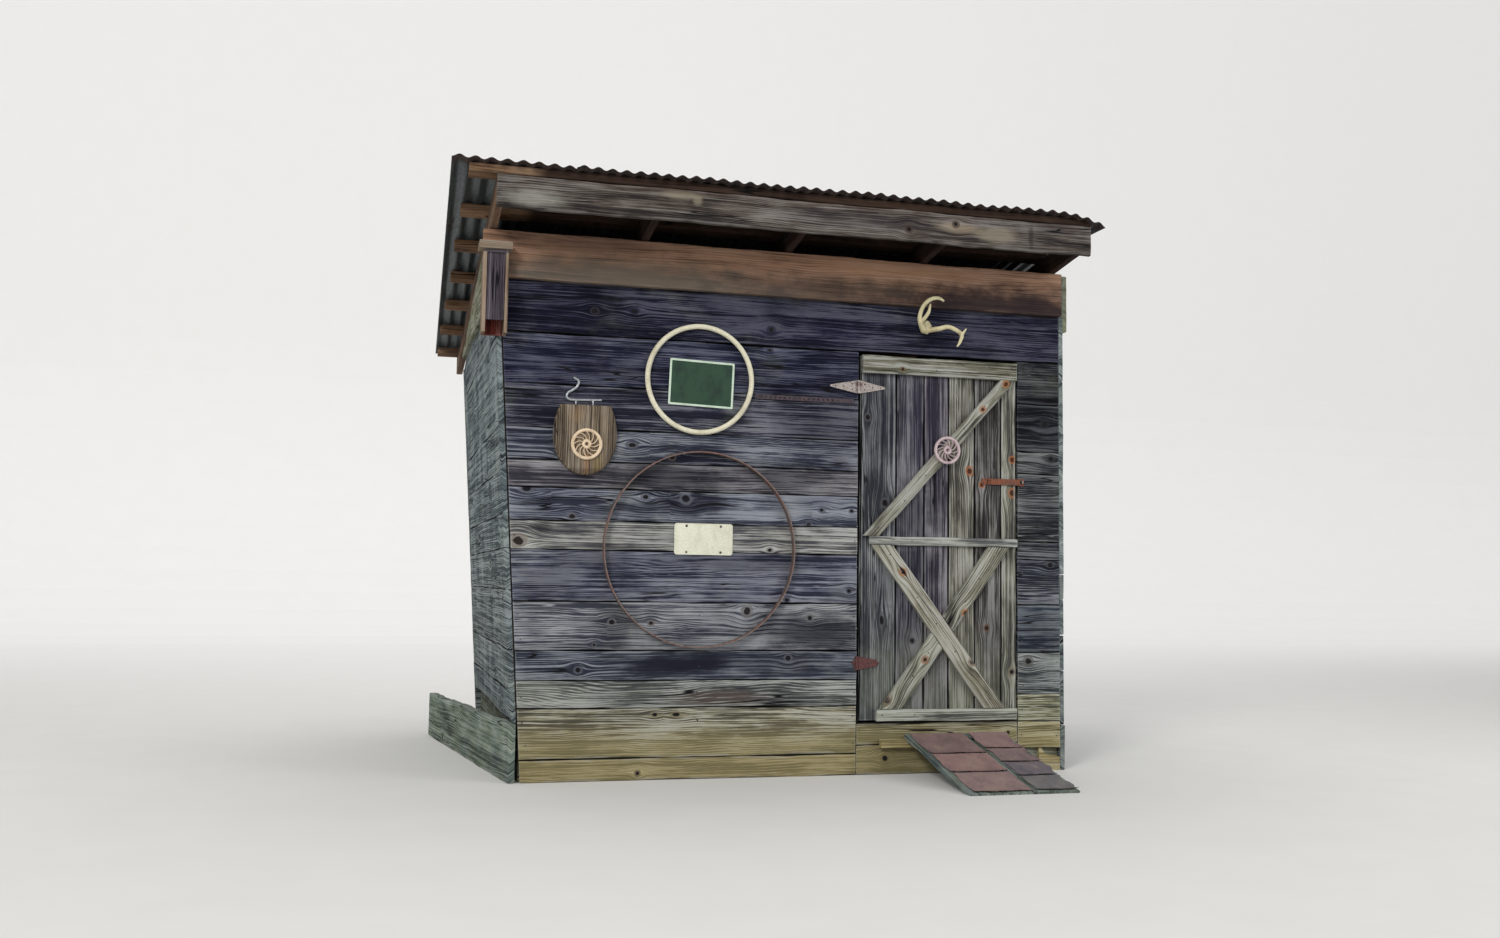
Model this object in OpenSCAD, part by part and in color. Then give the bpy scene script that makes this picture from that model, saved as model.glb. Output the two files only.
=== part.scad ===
// Wooden outhouse: a small lean-to building of rough boards on skids,
// with a corrugated roof, a braced plank door on strap hinges and old
// ornaments hung on the front. Millimetres, front to -Y, ground at z = 0.

/* [Building] */
// Width of the front wall at its bottom edge
wall_w = 2950; // [2600:10:3400]
// Depth from the face of the front wall to the face of the back wall
wall_d = 2440; // [2000:10:3000]
// Height of the front wall boards, from their bottom edge to the rafters
front_h = 2580; // [2450:10:2900]
// Height of the bottom edge of the front boards above the ground
base_h = 120; // [80:5:200]
// How far the left wall leans out, in degrees from upright
left_lean = 3.77; // [0:0.01:5]
// Fall of the roof from front to back, in degrees
roof_pitch = 8; // [4:0.5:12]

/* [Walls] */
// Thickness of the wall boards
board_t = 25; // [18:1:40]
// Side of the square corner posts
post_s = 90; // [60:5:120]
// Width of the studs at the door and along the walls
stud_w = 40; // [30:1:60]
// Height of the plates on top of the posts
plate_h = 80; // [50:5:120]
// Height of the left wall boards' bottom edge above the ground
left_wall_gap = 320; // [250:10:400]
// Height of the thick board across the top of the front wall
header_h = 235; // [150:5:300]
// Thickness of the board across the top of the front wall
header_t = 38; // [25:1:50]
// Height of the wedge-shaped boards on top of the side walls at their front
frieze_h = 315; // [200:5:340]

/* [Floor] */
// Width of the floor skids
skid_w = 140; // [100:5:200]
// Height of the floor skids
skid_h = 145; // [120:5:200]
// Distance of the outer skids behind the wall faces
skid_inset = 30; // [26:1:80]
// Number of joists across the skids
joist_n = 5; // [3:1:8]
// Width of a joist
joist_w = 45; // [30:1:80]
// Thickness of the floor planks
deck_t = 38; // [25:1:50]
// Gap between the floor planks
deck_gap = 4; // [2:1:10]
// Number of floor planks
deck_planks = 12; // [8:1:20]
// Height of the floor above the ground
floor_h = 265; // [240:5:320]

/* [Roof] */
// Reach of the roof sheets past the left wall's foot
roof_left = 360; // [200:10:450]
// Reach of the rafters in front of the front wall
front_eave = 395; // [250:5:500]
// Reach of the rafters behind the back wall
rear_eave = 90; // [60:5:250]
// Number of rafters
rafter_n = 5; // [3:1:7]
// Thickness of a rafter
rafter_t = 38; // [30:1:60]
// Depth of a rafter
rafter_h = 110; // [90:5:160]
// Reach of the left rafter past the left wall's foot
rafter_left = 186; // [150:1:220]
// Distance of the right rafter inside the right wall's face
rafter_right = 59; // [40:1:120]
// Number of purlins across the rafters
purlin_n = 7; // [5:1:9]
// Width of a purlin, which lies flat
purlin_w = 89; // [60:1:120]
// Thickness of a purlin
purlin_t = 38; // [25:1:50]
// Reach of the purlins past the left wall's foot
purlin_left = 325; // [250:5:380]
// Thickness of the board on the rafter ends
fascia_t = 25; // [18:1:40]
// Height of the board on the rafter ends
fascia_h = 155; // [120:5:200]
// Number of corrugated sheets side by side
sheet_n = 6; // [4:1:7]
// Waves that each sheet covers
sheet_waves = 8; // [6:1:10]
// Length of one wave of the sheets
wave_len = 67.7; // [50:0.1:80]
// Height of the waves
wave_h = 18; // [12:0.5:24]
// Thickness of a sheet
sheet_t = 1.5; // [1:0.1:3]
// Reach of the sheets past the rafter ends, front and back
sheet_over = 60; // [40:5:100]

/* [Door] */
// Width of the front wall right of the door
door_side = 283; // [220:1:400]
// Width of the door
door_w = 902; // [750:1:950]
// Height of the door
door_h = 1916; // [1750:1:2000]
// Thickness of the door planks
door_t = 25; // [20:1:35]
// Gap between the door and the wall beside it
door_gap = 8; // [6:0.5:12]
// Gap between the door and the boards over it
door_head_gap = 18; // [8:1:30]
// Gap between the door and the floor
door_sill_gap = 9; // [6:0.5:15]
// Thickness of the door's rails and braces
brace_t = 24; // [18:1:35]
// Height of the door's top rail
top_rail_h = 95; // [60:1:120]
// Height of the door's middle rail
mid_rail_h = 45; // [35:1:80]
// Height of the door's middle rail above the door's bottom edge
mid_rail_z = 915; // [850:5:1000]
// Height of the door's bottom rail
low_rail_h = 62; // [45:1:100]
// Width of the long brace in the upper half
upper_brace_w = 66; // [50:1:90]
// Width of the crossed braces in the lower half
lower_brace_w = 98; // [70:1:120]

/* [Hinges and hasp] */
// Thickness of the iron straps
strap_t = 4; // [3:0.5:6]
// Radius of the hinge knuckles
knuckle_r = 7; // [6:0.5:9]
// Radius of the hinge pins
pin_r = 3; // [2.5:0.25:4]
// Play between a pin and its knuckle
pin_play = 0.4; // [0.2:0.05:1]
// Play between one knuckle and the next
knuckle_play = 1; // [0.5:0.1:2]
// Height of the upper hinge above the door's bottom edge
upper_hinge_z = 1744; // [1600:1:1800]
// Height of the upper hinge at its pin
upper_hinge_h = 69; // [50:1:90]
// Length of the upper hinge's strap on the wall
upper_wall_reach = 159; // [120:1:200]
// Length of the upper hinge's strap on the door
upper_door_reach = 151; // [120:1:200]
// Height of the lower hinge above the door's bottom edge
lower_hinge_z = 299; // [250:1:400]
// Height of the lower hinge
lower_hinge_h = 70; // [50:1:90]
// Length of the lower hinge's leaf on the wall
lower_wall_reach = 28; // [22:1:60]
// Length of the lower hinge's leaf on the door
lower_door_reach = 125; // [80:1:180]
// Height of the hasp above the door's bottom edge
hasp_z = 1268; // [1180:1:1350]
// Distance of the staple from the door's right edge
staple_out = 26; // [20:1:32]
// Length of the hasp from its pin to the staple
hasp_len = 190; // [140:1:220]
// Height of the hasp's strap
hasp_h = 32; // [26:1:40]

/* [Ramp and skirt] */
// Distance of the ramp's right edge from the door's right edge, at the sill
ramp_in = 77; // [20:1:150]
// Width of the ramp
ramp_w = 565; // [450:5:620]
// Height of the ramp's top edge below the floor
ramp_drop = 58; // [30:1:80]
// Length of the ramp along the ground
ramp_run = 760; // [500:5:1000]
// How far the ramp's foot lies to the right of its top
ramp_shift = 30; // [0:5:100]
// Thickness of the ramp boards
ramp_t = 26; // [20:1:40]
// Reach of the cleat under the ramp's top past the ramp's left edge
cleat_reach = 140; // [60:5:180]
// Height of the loose skirt board at the left wall
skirt_h = 285; // [200:5:310]
// Thickness of the loose skirt board
skirt_t = 38; // [25:1:50]
// Length of the loose skirt board
skirt_len = 2180; // [1900:10:2300]
// Angle by which the skirt board stands away from the wall
skirt_splay = 7.5; // [2:0.5:12]

/* [Ornaments] */
// Distance of the round rim's centre from the left wall's foot
rim_x = 895; // [600:5:1200]
// Height of the round rim's centre above the front boards' bottom
rim_z = 1891; // [1800:1:1950]
// Outer diameter of the round rim
rim_d = 570; // [450:5:600]
// Thickness of the round rim
rim_t = 26; // [20:1:35]
// Width of the sign inside the rim
sign_w = 340; // [250:5:380]
// Height of the sign inside the rim
sign_h = 238; // [180:1:260]
// Distance of the hoop's centre from the left wall's foot
hoop_x = 910; // [700:5:1100]
// Height of the hoop's centre above the front boards' bottom
hoop_z = 1026; // [950:1:1060]
// Outer diameter of the hoop
hoop_d = 990; // [800:5:1030]
// Thickness of the hoop's band
hoop_t = 6; // [4:0.5:10]
// Depth of the hoop's band
hoop_w = 42; // [30:1:60]
// Width of the number plate
plate_w = 305; // [250:1:350]
// Height of the number plate
plate_tall = 160; // [120:1:180]
// Distance of the seat lid's middle from the left wall's foot
lid_x = 314; // [280:1:400]
// Height of the seat lid's middle above the front boards' bottom
lid_z = 1556; // [1480:1:1570]
// Width of the seat lid
lid_w = 319; // [250:1:340]
// Height of the seat lid
lid_h = 352; // [280:1:380]
// Thickness of the seat lid
lid_t = 22; // [16:1:30]
// Diameter of the rosettes
rosette_d = 156; // [120:1:170]
// Thickness of the rosettes
rosette_t = 14; // [8:1:20]
// Number of slanted spokes in a rosette
rosette_spokes = 12; // [8:1:16]
// Diameter of the rod of the lid's hook
hook_d = 12; // [8:1:16]
// Width of the lid's hook
hook_w = 172; // [120:1:200]
// Number of holes in the perforated strap
holes_n = 16; // [8:1:20]
// Height of the perforated strap
holed_h = 24; // [20:1:30]
// Distance between the holes of the perforated strap
hole_pitch = 26; // [20:1:30]
// Height of the perforated strap above the front boards' bottom
holed_z = 1820; // [1760:5:1860]
// Distance of the perforated strap from the rim
holed_rim_gap = 10; // [5:1:40]
// Distance of the perforated strap from the doorway
holed_door_gap = 27; // [10:1:60]
// Thickness of the antlers at their thickest
antler_d = 24; // [16:1:30]
// Width of the antlers
antler_w = 255; // [180:5:300]
// Distance of the antlers' skull piece left of the door's middle
antler_x = 84; // [40:1:150]
// Height of the antlers' skull piece above the doorway
antler_z = 155; // [120:1:200]

/* [Small box] */
// Width of the small open box at the left corner
box_w = 123; // [100:1:150]
// Height of the small open box
box_h = 410; // [350:5:450]
// Depth of the small open box
box_d = 112; // [90:1:140]
// Thickness of the small box's boards
box_t = 16; // [12:1:20]
// Thickness of the small box's cap
cap_t = 40; // [20:1:60]

/* [Hidden] */
$fn = 48;
slope = tan(roof_pitch);
lean = tan(left_lean);
left = -wall_w / 2;
right = wall_w / 2;
front = -wall_d / 2;
back = wall_d / 2;
head_z = base_h + front_h;
// Space between faces that meet aslant or on a curve
touch = 0.3;
cut = 1;

door_r = right - door_side;
door_l = door_r - door_w;
door_z = floor_h + door_sill_gap;
door_top = door_z + door_h;
opening_l = door_l - door_gap;
opening_r = door_r + door_gap;
opening_top = door_top + door_head_gap;
pin_x = door_l - door_gap - 2;
pin_y = front - knuckle_r - touch;

wall_in = front + board_t;
wall_top = head_z - slope * board_t - touch;
back_in = back - board_t;
right_in = right - board_t;

rafter_y0 = front - front_eave;
rafter_y1 = back + rear_eave;
sheet_y0 = rafter_y0 - sheet_over;
sheet_y1 = rafter_y1 + sheet_over;
cos_p = cos(roof_pitch);
purlin_low = rafter_h / cos_p;
sheet_low = purlin_low + purlin_t / cos_p;
// Straight pieces in each wave of a sheet
wave_steps = 8;

ramp_r = door_r - ramp_in;
ramp_l = ramp_r - ramp_w;
ramp_rise = floor_h - ramp_drop;
ramp_low_run = ramp_run - 2 * ramp_t;

box_l = left - lean_at(head_z) - box_w / 2 + box_t;
box_r = box_l + box_w;
box_top = head_z - header_h / 2;

// Plank seams of the door, as shares of its width
seams = [0.228, 0.404, 0.56, 0.727, 0.899];
mid_low = door_z + mid_rail_z;
mid_top = mid_low + mid_rail_h;
low_top = door_z + low_rail_h;
top_low = door_top - top_rail_h;
rail_x0 = door_l + 8;
rail_x1 = door_r - 5;

// Middle lines of the braces, where they meet the rails
upper_foot = [door_l + 0.069 * door_w, mid_top];
upper_head = [door_l + 0.938 * door_w, top_low];
long_foot = [door_l + 0.845 * door_w, low_top];
long_head = [door_l + 0.135 * door_w, mid_low];
short_foot = [door_l + 0.197 * door_w, low_top];
short_head = [door_l + 0.878 * door_w, mid_low];

hasp_pin_x = door_r + staple_out - hasp_len;
hasp_mid_z = door_z + hasp_z;
hasp_pin_r = 2;
// Size of a bend in a rod against the rod's diameter
bend_size = 1.08;
// Distance of the hasp's strap in front of its plate
hasp_lift = 5;
slot_w = 14;
slot_h = 24;

// Height of the rafters' lower edge at a distance y from the middle
function under_rafter(y) = head_z - slope * (y - front);

// How far the left wall stands out at a height z
function lean_at(z) = lean * (z - base_h);

// A block that leans with the left wall, seen from the front as a
// slanted four-sided outline
module leaning_block(x0, x1, z0, z1, y0, y1) {
    translate([0, y1, 0])
        rotate([90, 0, 0])
            linear_extrude(y1 - y0)
                polygon([[x0 - lean_at(z0), z0], [x1 - lean_at(z0), z0],
                         [x1 - lean_at(z1), z1], [x0 - lean_at(z1), z1]]);
}

// A flat outline in x and z, as thick as t, with its back at y
module on_front(y, t) {
    translate([0, y, 0])
        rotate([90, 0, 0])
            linear_extrude(t)
                children();
}

// The space under the rafters, from the height z0 up to just below them
module under_roof(z0) {
    x0 = left - roof_left;
    translate([x0, 0, 0])
        rotate([90, 0, 90])
            linear_extrude(wall_w + 2 * roof_left)
                polygon([[rafter_y0, z0], [rafter_y1, z0],
                         [rafter_y1, under_rafter(rafter_y1) - touch],
                         [rafter_y0, under_rafter(rafter_y0) - touch]]);
}

// A timber along the roof's fall, from y0 to y1, x0 to x1, with its lower
// face as high as low above the rafters' lower edge and h thick
module roof_timber(x0, x1, y0, y1, low, h) {
    translate([x0, 0, 0])
        rotate([90, 0, 90])
            linear_extrude(x1 - x0)
                polygon([[y0, under_rafter(y0) + low], [y1, under_rafter(y1) + low],
                         [y1, under_rafter(y1) + low + h / cos_p],
                         [y0, under_rafter(y0) + low + h / cos_p]]);
}

module block(x0, x1, y0, y1, z0, z1) {
    translate([x0, y0, z0])
        cube([x1 - x0, y1 - y0, z1 - z0]);
}

// Three skids from side to side, the middle one under the centre
module floor_skids() {
    x0 = left + skid_inset;
    x1 = right - skid_inset;
    color([0.52, 0.44, 0.28])
        for (y = [front + skid_inset, -skid_w / 2, back - skid_inset - skid_w])
            block(x0, x1, y, y + skid_w, 0, skid_h);
}

// Joists from front to back on the skids
module floor_joists() {
    x0 = left + skid_inset;
    x1 = right - skid_inset - joist_w;
    step = (x1 - x0) / (joist_n - 1);
    color([0.47, 0.40, 0.28])
        for (i = [0 : joist_n - 1])
            block(x0 + i * step, x0 + i * step + joist_w, front + skid_inset, back - skid_inset,
                  skid_h, floor_h - deck_t);
}

// Floor planks from side to side
module floor_planks() {
    y0 = wall_in;
    step = (back_in - y0 + deck_gap) / deck_planks;
    color([0.45, 0.40, 0.33])
        for (i = [0 : deck_planks - 1])
            block(left + skid_inset, right_in, y0 + i * step, y0 + (i + 1) * step - deck_gap,
                  floor_h - deck_t, floor_h);
}

// Upright posts and studs, from the floor to the plates
module wall_posts() {
    fy1 = wall_in + post_s;
    by0 = back_in - post_s;
    mid_y = -post_s / 2;
    lx = left + board_t;
    front_top = under_rafter(fy1) - plate_h;
    back_top = under_rafter(back_in) - plate_h;
    side_top = under_rafter(mid_y + post_s) - plate_h - touch;
    color([0.42, 0.36, 0.29]) {
        leaning_block(lx, lx + post_s, floor_h, front_top, wall_in, fy1);
        leaning_block(lx, lx + post_s, floor_h, side_top, mid_y, mid_y + post_s);
        leaning_block(lx, lx + post_s, floor_h, back_top, by0, back_in);
        block(right_in - post_s, right_in, wall_in, fy1, floor_h, front_top);
        block(right_in - post_s, right_in, mid_y, mid_y + post_s, floor_h, side_top);
        block(right_in - post_s, right_in, by0, back_in, floor_h, back_top);
        block(opening_l - stud_w, opening_l, wall_in, fy1, floor_h, front_top);
        block(opening_r, opening_r + stud_w, wall_in, fy1, floor_h, front_top);
        block(left + hoop_x - stud_w / 2, left + hoop_x + stud_w / 2, wall_in, fy1, floor_h, front_top);
        block(-stud_w / 2, stud_w / 2, by0, back_in, floor_h, back_top);
    }
}

// Plates along the front and the back, under the rafters
module top_plates() {
    x0 = left + board_t;
    color([0.42, 0.36, 0.29])
        intersection() {
            under_roof(floor_h);
            union() {
                fz = under_rafter(wall_in + post_s) - plate_h;
                bz = under_rafter(back_in) - plate_h;
                leaning_end(x0, right_in, fz, head_z, wall_in, wall_in + post_s);
                leaning_end(x0, right_in, bz, head_z, back_in - post_s, back_in);
            }
        }
}

// A block whose left end leans with the left wall and whose right end is upright
module leaning_end(x0, x1, z0, z1, y0, y1) {
    on_front(y1, y1 - y0)
        polygon([[x0 - lean_at(z0), z0], [x1, z0], [x1, z1], [x0 - lean_at(z1), z1]]);
}

// Plates along the side walls, between the front and back plates
module side_plates() {
    y0 = wall_in + post_s;
    y1 = back_in - post_s;
    lx = left + board_t;
    color([0.42, 0.36, 0.29])
        intersection() {
            roof_timber(left - roof_left, right, y0, y1, -plate_h - touch, plate_h * cos_p);
            union() {
                leaning_block(lx, lx + post_s, floor_h, head_z, y0, y1);
                block(right_in - post_s, right_in, y0, y1, floor_h, head_z);
            }
        }
}

// Front boards left of the door, down to the ground
module front_wall_left() {
    color([0.27, 0.26, 0.28])
        on_front(wall_in, board_t)
            polygon([[left + board_t + touch - lean_at(0), 0], [opening_l, 0], [opening_l, wall_top],
                     [left + board_t + touch - lean_at(wall_top), wall_top]]);
}

module front_wall_right() {
    color([0.27, 0.26, 0.28])
        block(opening_r, right_in, front, wall_in, base_h, wall_top);
}

module front_wall_over_door() {
    color([0.22, 0.21, 0.24])
        block(opening_l, opening_r, front, wall_in, opening_top, wall_top);
}

// Boards under the door, up to the floor
module door_sill() {
    color([0.55, 0.50, 0.35])
        block(opening_l, opening_r, front, wall_in, 0, floor_h);
}

// Broken piece of board on the ground under the right half of the boards
// beside the door
module corner_block() {
    x0 = (opening_r + right_in) / 2;
    t = skid_inset - 5;
    broken_h = 0.6 * base_h;
    step = 40;
    color([0.52, 0.46, 0.30])
        on_front(front + skid_inset, t)
            polygon([[x0, 0], [right_in, 0], [right_in, broken_h], [x0 + step, broken_h + step / 3],
                     [x0 + step / 3, base_h], [x0, base_h]]);
}

// Boards of the left wall, which leans out and covers the front boards' ends
module left_wall() {
    color([0.38, 0.41, 0.39])
        intersection() {
            under_roof(left_wall_gap);
            leaning_block(left, left + board_t, left_wall_gap, head_z, front, back_in);
        }
}

module right_wall() {
    color([0.38, 0.41, 0.39])
        intersection() {
            under_roof(0);
            block(right_in, right, front, back_in, 0, head_z);
        }
}

module back_wall() {
    color([0.34, 0.35, 0.35])
        intersection() {
            under_roof(0);
            leaning_end(left, right, 0, head_z, back_in, back);
        }
}

// Thick board across the top of the front, notched round the small box
module header_board() {
    z0 = head_z - header_h;
    color([0.42, 0.30, 0.22])
        on_front(front, header_t)
            polygon([[box_r, z0], [right_in, z0], [right_in, head_z], [box_l, head_z],
                     [box_l, box_top + cap_t], [box_r, box_top + cap_t]]);
}

// Wedge-shaped boards on the tops of the side walls, level below and cut
// to the roof's fall above
module side_frieze_boards() {
    end_h = 20;
    z0 = head_z - frieze_h;
    y0 = front + cut;
    y1 = front + (frieze_h - end_h) / slope;
    color([0.46, 0.46, 0.28])
        intersection() {
            under_roof(z0);
            union() {
                leaning_block(left - board_t - touch, left - touch, z0, head_z, y0, y1);
                block(right, right + board_t, y0, y1, z0, head_z);
            }
        }
}

module rafters() {
    x0 = left - rafter_left;
    x1 = right - rafter_right - rafter_t;
    step = (x1 - x0) / (rafter_n - 1);
    color([0.40, 0.32, 0.25])
        for (i = [0 : rafter_n - 1])
            roof_timber(x0 + i * step, x0 + i * step + rafter_t, rafter_y0, rafter_y1, 0, rafter_h);
}

// Board on the front ends of the rafters
module fascia_board() {
    top = under_rafter(rafter_y0) + purlin_low;
    color([0.38, 0.34, 0.30])
        block(left - rafter_left, right - rafter_right, rafter_y0 - fascia_t, rafter_y0,
              top - fascia_h, top);
}

// Flat battens across the rafters, which carry the sheets
module purlins() {
    y0 = rafter_y0 - fascia_t;
    y1 = rafter_y1 - purlin_w;
    step = (y1 - y0) / (purlin_n - 1);
    color([0.47, 0.36, 0.26])
        for (i = [0 : purlin_n - 1])
            roof_timber(left - purlin_left, right - rafter_right, y0 + i * step, y0 + i * step + purlin_w,
                        purlin_low, purlin_t);
}

// Height of a sheet's lower face in its wave, which has its valleys on z = 0
function wave_z(x) = wave_h / 2 * (1 - cos(360 * x / wave_len));

// Outline of a corrugated sheet seen from the front, a band along the wave
module wave_outline(waves) {
    n = waves * wave_steps;
    low = [for (i = [0 : n]) [i * wave_len / wave_steps, wave_z(i * wave_len / wave_steps)]];
    high = [for (i = [n : -1 : 0]) low[i] + [0, sheet_t]];
    polygon(concat(low, high));
}

// Sheet number i of the roof, counted from 0 at the left. Every second sheet
// lies over its neighbours, lapped by one wave
module roof_sheet(i) {
    lift = i % 2 == 1 ? sheet_t + touch : 0;
    x = left - roof_left + i * sheet_waves * wave_len;
    fall_len = (sheet_y1 - sheet_y0) / cos_p;
    top_z = under_rafter(sheet_y0) + sheet_low + lift / cos_p;
    color([0.36, 0.38, 0.38])
        translate([x, sheet_y0, top_z])
            rotate([-roof_pitch, 0, 0])
                rotate([90, 0, 0])
                    translate([0, 0, -fall_len])
                        linear_extrude(fall_len)
                            wave_outline(sheet_waves + 1);
}

module roof_sheets_under() {
    for (i = [0 : 2 : sheet_n - 1])
        roof_sheet(i);
}

module roof_sheets_over() {
    for (i = [1 : 2 : sheet_n - 1])
        roof_sheet(i);
}

// Loose board on edge, pulled away from the left wall at its far end
module skirt_board() {
    color([0.35, 0.37, 0.28])
        translate([left + board_t - lean_at(skirt_h) - touch, front + touch, 0])
            rotate([0, 0, skirt_splay])
                translate([-skirt_t, 0, 0])
                    cube([skirt_t, skirt_len, skirt_h]);
}

// Height of the ramp boards' lower face at a distance y from the sill
function ramp_low(y) = (ramp_rise - ramp_t) * (1 + y / ramp_low_run);

// An outline in y and z, drawn along x from x0 to x1, with the face of the
// sill at y = 0
module across_ramp(x0, x1) {
    translate([x0, front, 0])
        rotate([90, 0, 90])
            linear_extrude(x1 - x0)
                children();
}

// One ramp board from x0 to x1 at its top, with its foot set to the right
module ramp_board(x0, x1) {
    intersection() {
        across_ramp(x0 - ramp_shift, x1 + 2 * ramp_shift)
            polygon([[-touch, ramp_low(-touch)], [-touch, ramp_rise], [-ramp_run, ramp_t / 2],
                     [-ramp_run, 0], [-ramp_low_run, 0]]);
        translate([0, front, 0])
            linear_extrude(floor_h)
                polygon([[x0 - ramp_shift, ramp_run], [x1 - ramp_shift, ramp_run],
                         [x1 + 2 * ramp_shift, -2 * ramp_run], [x0 + 2 * ramp_shift, -2 * ramp_run]]);
    }
}

// Two boards side by side that lead down from the sill to the ground
module ramp_boards() {
    seam = 6;
    left_share = 0.56;
    mid = ramp_l + left_share * ramp_w;
    color([0.45, 0.30, 0.27]) {
        ramp_board(ramp_l, mid - seam / 2);
        ramp_board(mid + seam / 2, ramp_r);
    }
}

// Cleat on the sill, which carries the ramp's top
module ramp_cleat() {
    h = 34;
    t = 32;
    color([0.50, 0.44, 0.28])
        across_ramp(ramp_l - cleat_reach, ramp_r)
            polygon([[0, ramp_low(-t) - h], [-t, ramp_low(-t) - h], [-t, ramp_low(-t) - touch],
                     [0, ramp_low(0) - touch]]);
}

// Small box at the left corner, open at the bottom, with a front board that
// stops short and lies back between the sides
module corner_box() {
    setback = 8;
    short = 62;
    y0 = front - box_d;
    z0 = box_top - box_h;
    x0 = box_l + box_t;
    x1 = box_r - box_t;
    z1 = box_top - box_t;
    color([0.42, 0.32, 0.30])
        difference() {
            block(box_l, box_r, y0, front, z0, box_top);
            block(x0, x1, y0 + setback + box_t, front - box_t, z0 - cut, z1);
            block(x0, x1, y0 - cut, y0 + setback, z0 - cut, z1);
            block(x0, x1, y0 - cut, y0 + setback + box_t + cut, z0 - cut, z0 + short);
        }
}

// Cap of the small box, which reaches a little past its sides and front
module corner_box_cap() {
    side = 22;
    nose = 15;
    color([0.48, 0.38, 0.32]) {
        block(box_l - side, box_r, front - box_d - nose, front, box_top, box_top + cap_t);
        block(box_r, box_r + nose, front - box_d - nose, front - header_t, box_top, box_top + cap_t);
    }
}

// Round rim of pale tube, hung flat on the front
module round_rim() {
    color([0.88, 0.86, 0.76])
        translate([left + rim_x, front - rim_t / 2 - touch, base_h + rim_z])
            rotate([90, 0, 0])
                rotate_extrude()
                    translate([(rim_d - rim_t) / 2, 0])
                        circle(d = rim_t);
}

// Thin sign inside the rim, hung a little off the rim's centre and aslant
module sign_plate() {
    off_x = 11;
    off_z = -20;
    tilt = 2;
    t = 3;
    color([0.20, 0.32, 0.20])
        translate([left + rim_x + off_x, front, base_h + rim_z + off_z])
            rotate([0, tilt, 0])
                translate([-sign_w / 2, -t, -sign_h / 2])
                    cube([sign_w, t, sign_h]);
}

// Flat iron hoop, set on its edge against the front
module iron_hoop() {
    color([0.45, 0.33, 0.28])
        translate([left + hoop_x, front, base_h + hoop_z])
            rotate([90, 0, 0])
                difference() {
                    cylinder(d = hoop_d, h = hoop_w, $fn = 96);
                    translate([0, 0, -cut])
                        cylinder(d = hoop_d - 2 * hoop_t, h = hoop_w + 2 * cut, $fn = 96);
                }
}

// Plate with round corners and four screw holes, above the hoop's centre
module number_plate() {
    r = 14;
    t = 2;
    off_x = 20;
    off_z = 51;
    hole_x = 89;
    hole_z = plate_tall / 2 - 14;
    signs = [-1, 1];
    color([0.88, 0.88, 0.80])
        translate([left + hoop_x + off_x, front, base_h + hoop_z + off_z])
            rotate([90, 0, 0])
                linear_extrude(t)
                    difference() {
                        union() {
                            square([plate_w, plate_tall - 2 * r], center = true);
                            square([plate_w - 2 * r, plate_tall], center = true);
                            for (sx = signs, sz = signs)
                                translate([sx * (plate_w / 2 - r), sz * (plate_tall / 2 - r)])
                                    circle(r = r);
                        }
                        for (sx = signs, sz = signs)
                            translate([sx * hole_x, sz * hole_z])
                                circle(d = 7);
                    }
}

// Wooden seat lid: an oval whose top is cut off flat
module seat_lid() {
    color([0.48, 0.42, 0.29])
        translate([left + lid_x, front, base_h + lid_z])
            rotate([90, 0, 0])
                linear_extrude(lid_t)
                    intersection() {
                        lid_oval();
                        square([lid_w, lid_h], center = true);
                    }
}

// Oval of the lid, from two half ellipses of different heights
module lid_oval() {
    n = 40;
    top_half = lid_h * 0.72;
    low_half = lid_h * 0.56;
    mid = lid_h * 0.06;
    polygon([for (i = [0 : n - 1])
        let (a = 360 * i / n)
        [lid_w / 2 * cos(a), mid + sin(a) * (sin(a) > 0 ? top_half : low_half)]]);
}

// Rosette: a rim, a hub with a hole, and slanted spokes between them
module rosette(d, t) {
    rim = d * 0.09;
    hub = d * 0.13;
    reach = d / 2 - rim;
    slant = 40;
    linear_extrude(t)
        union() {
            difference() {
                circle(d = d);
                circle(d = d - 2 * rim);
            }
            difference() {
                circle(r = hub);
                circle(r = hub * 0.5);
            }
            intersection() {
                circle(d = d - rim);
                difference() {
                    for (i = [0 : rosette_spokes - 1])
                        rotate(i * 360 / rosette_spokes)
                            translate([hub * 0.8, 0])
                                rotate(slant)
                                    translate([0, -d * 0.025])
                                        square([reach, d * 0.05]);
                    circle(r = hub * 0.7);
                }
            }
        }
}

module lid_rosette() {
    off_x = 6;
    off_z = -21;
    color([0.88, 0.80, 0.70])
        translate([left + lid_x + off_x, front - lid_t, base_h + lid_z + off_z])
            rotate([90, 0, 0])
                rosette(rosette_d, rosette_t);
}

// A round rod from point a to point b
module rod(a, b, d) {
    v = b - a;
    reach = norm(v);
    translate(a)
        rotate([0, acos(v[2] / reach), atan2(v[1], v[0])])
            cylinder(d = d, h = reach);
}

// A bent rod through a list of points, with bends a little thicker than the
// rod, and round ends where round_ends is true
module bent_rod(points, d, round_ends) {
    last = len(points) - 1;
    for (i = [0 : last - 1])
        rod(points[i], points[i + 1], d);
    for (i = [0 : last])
        if (round_ends || (i > 0 && i < last))
            translate(points[i])
                sphere(d = d * bend_size);
}

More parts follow.
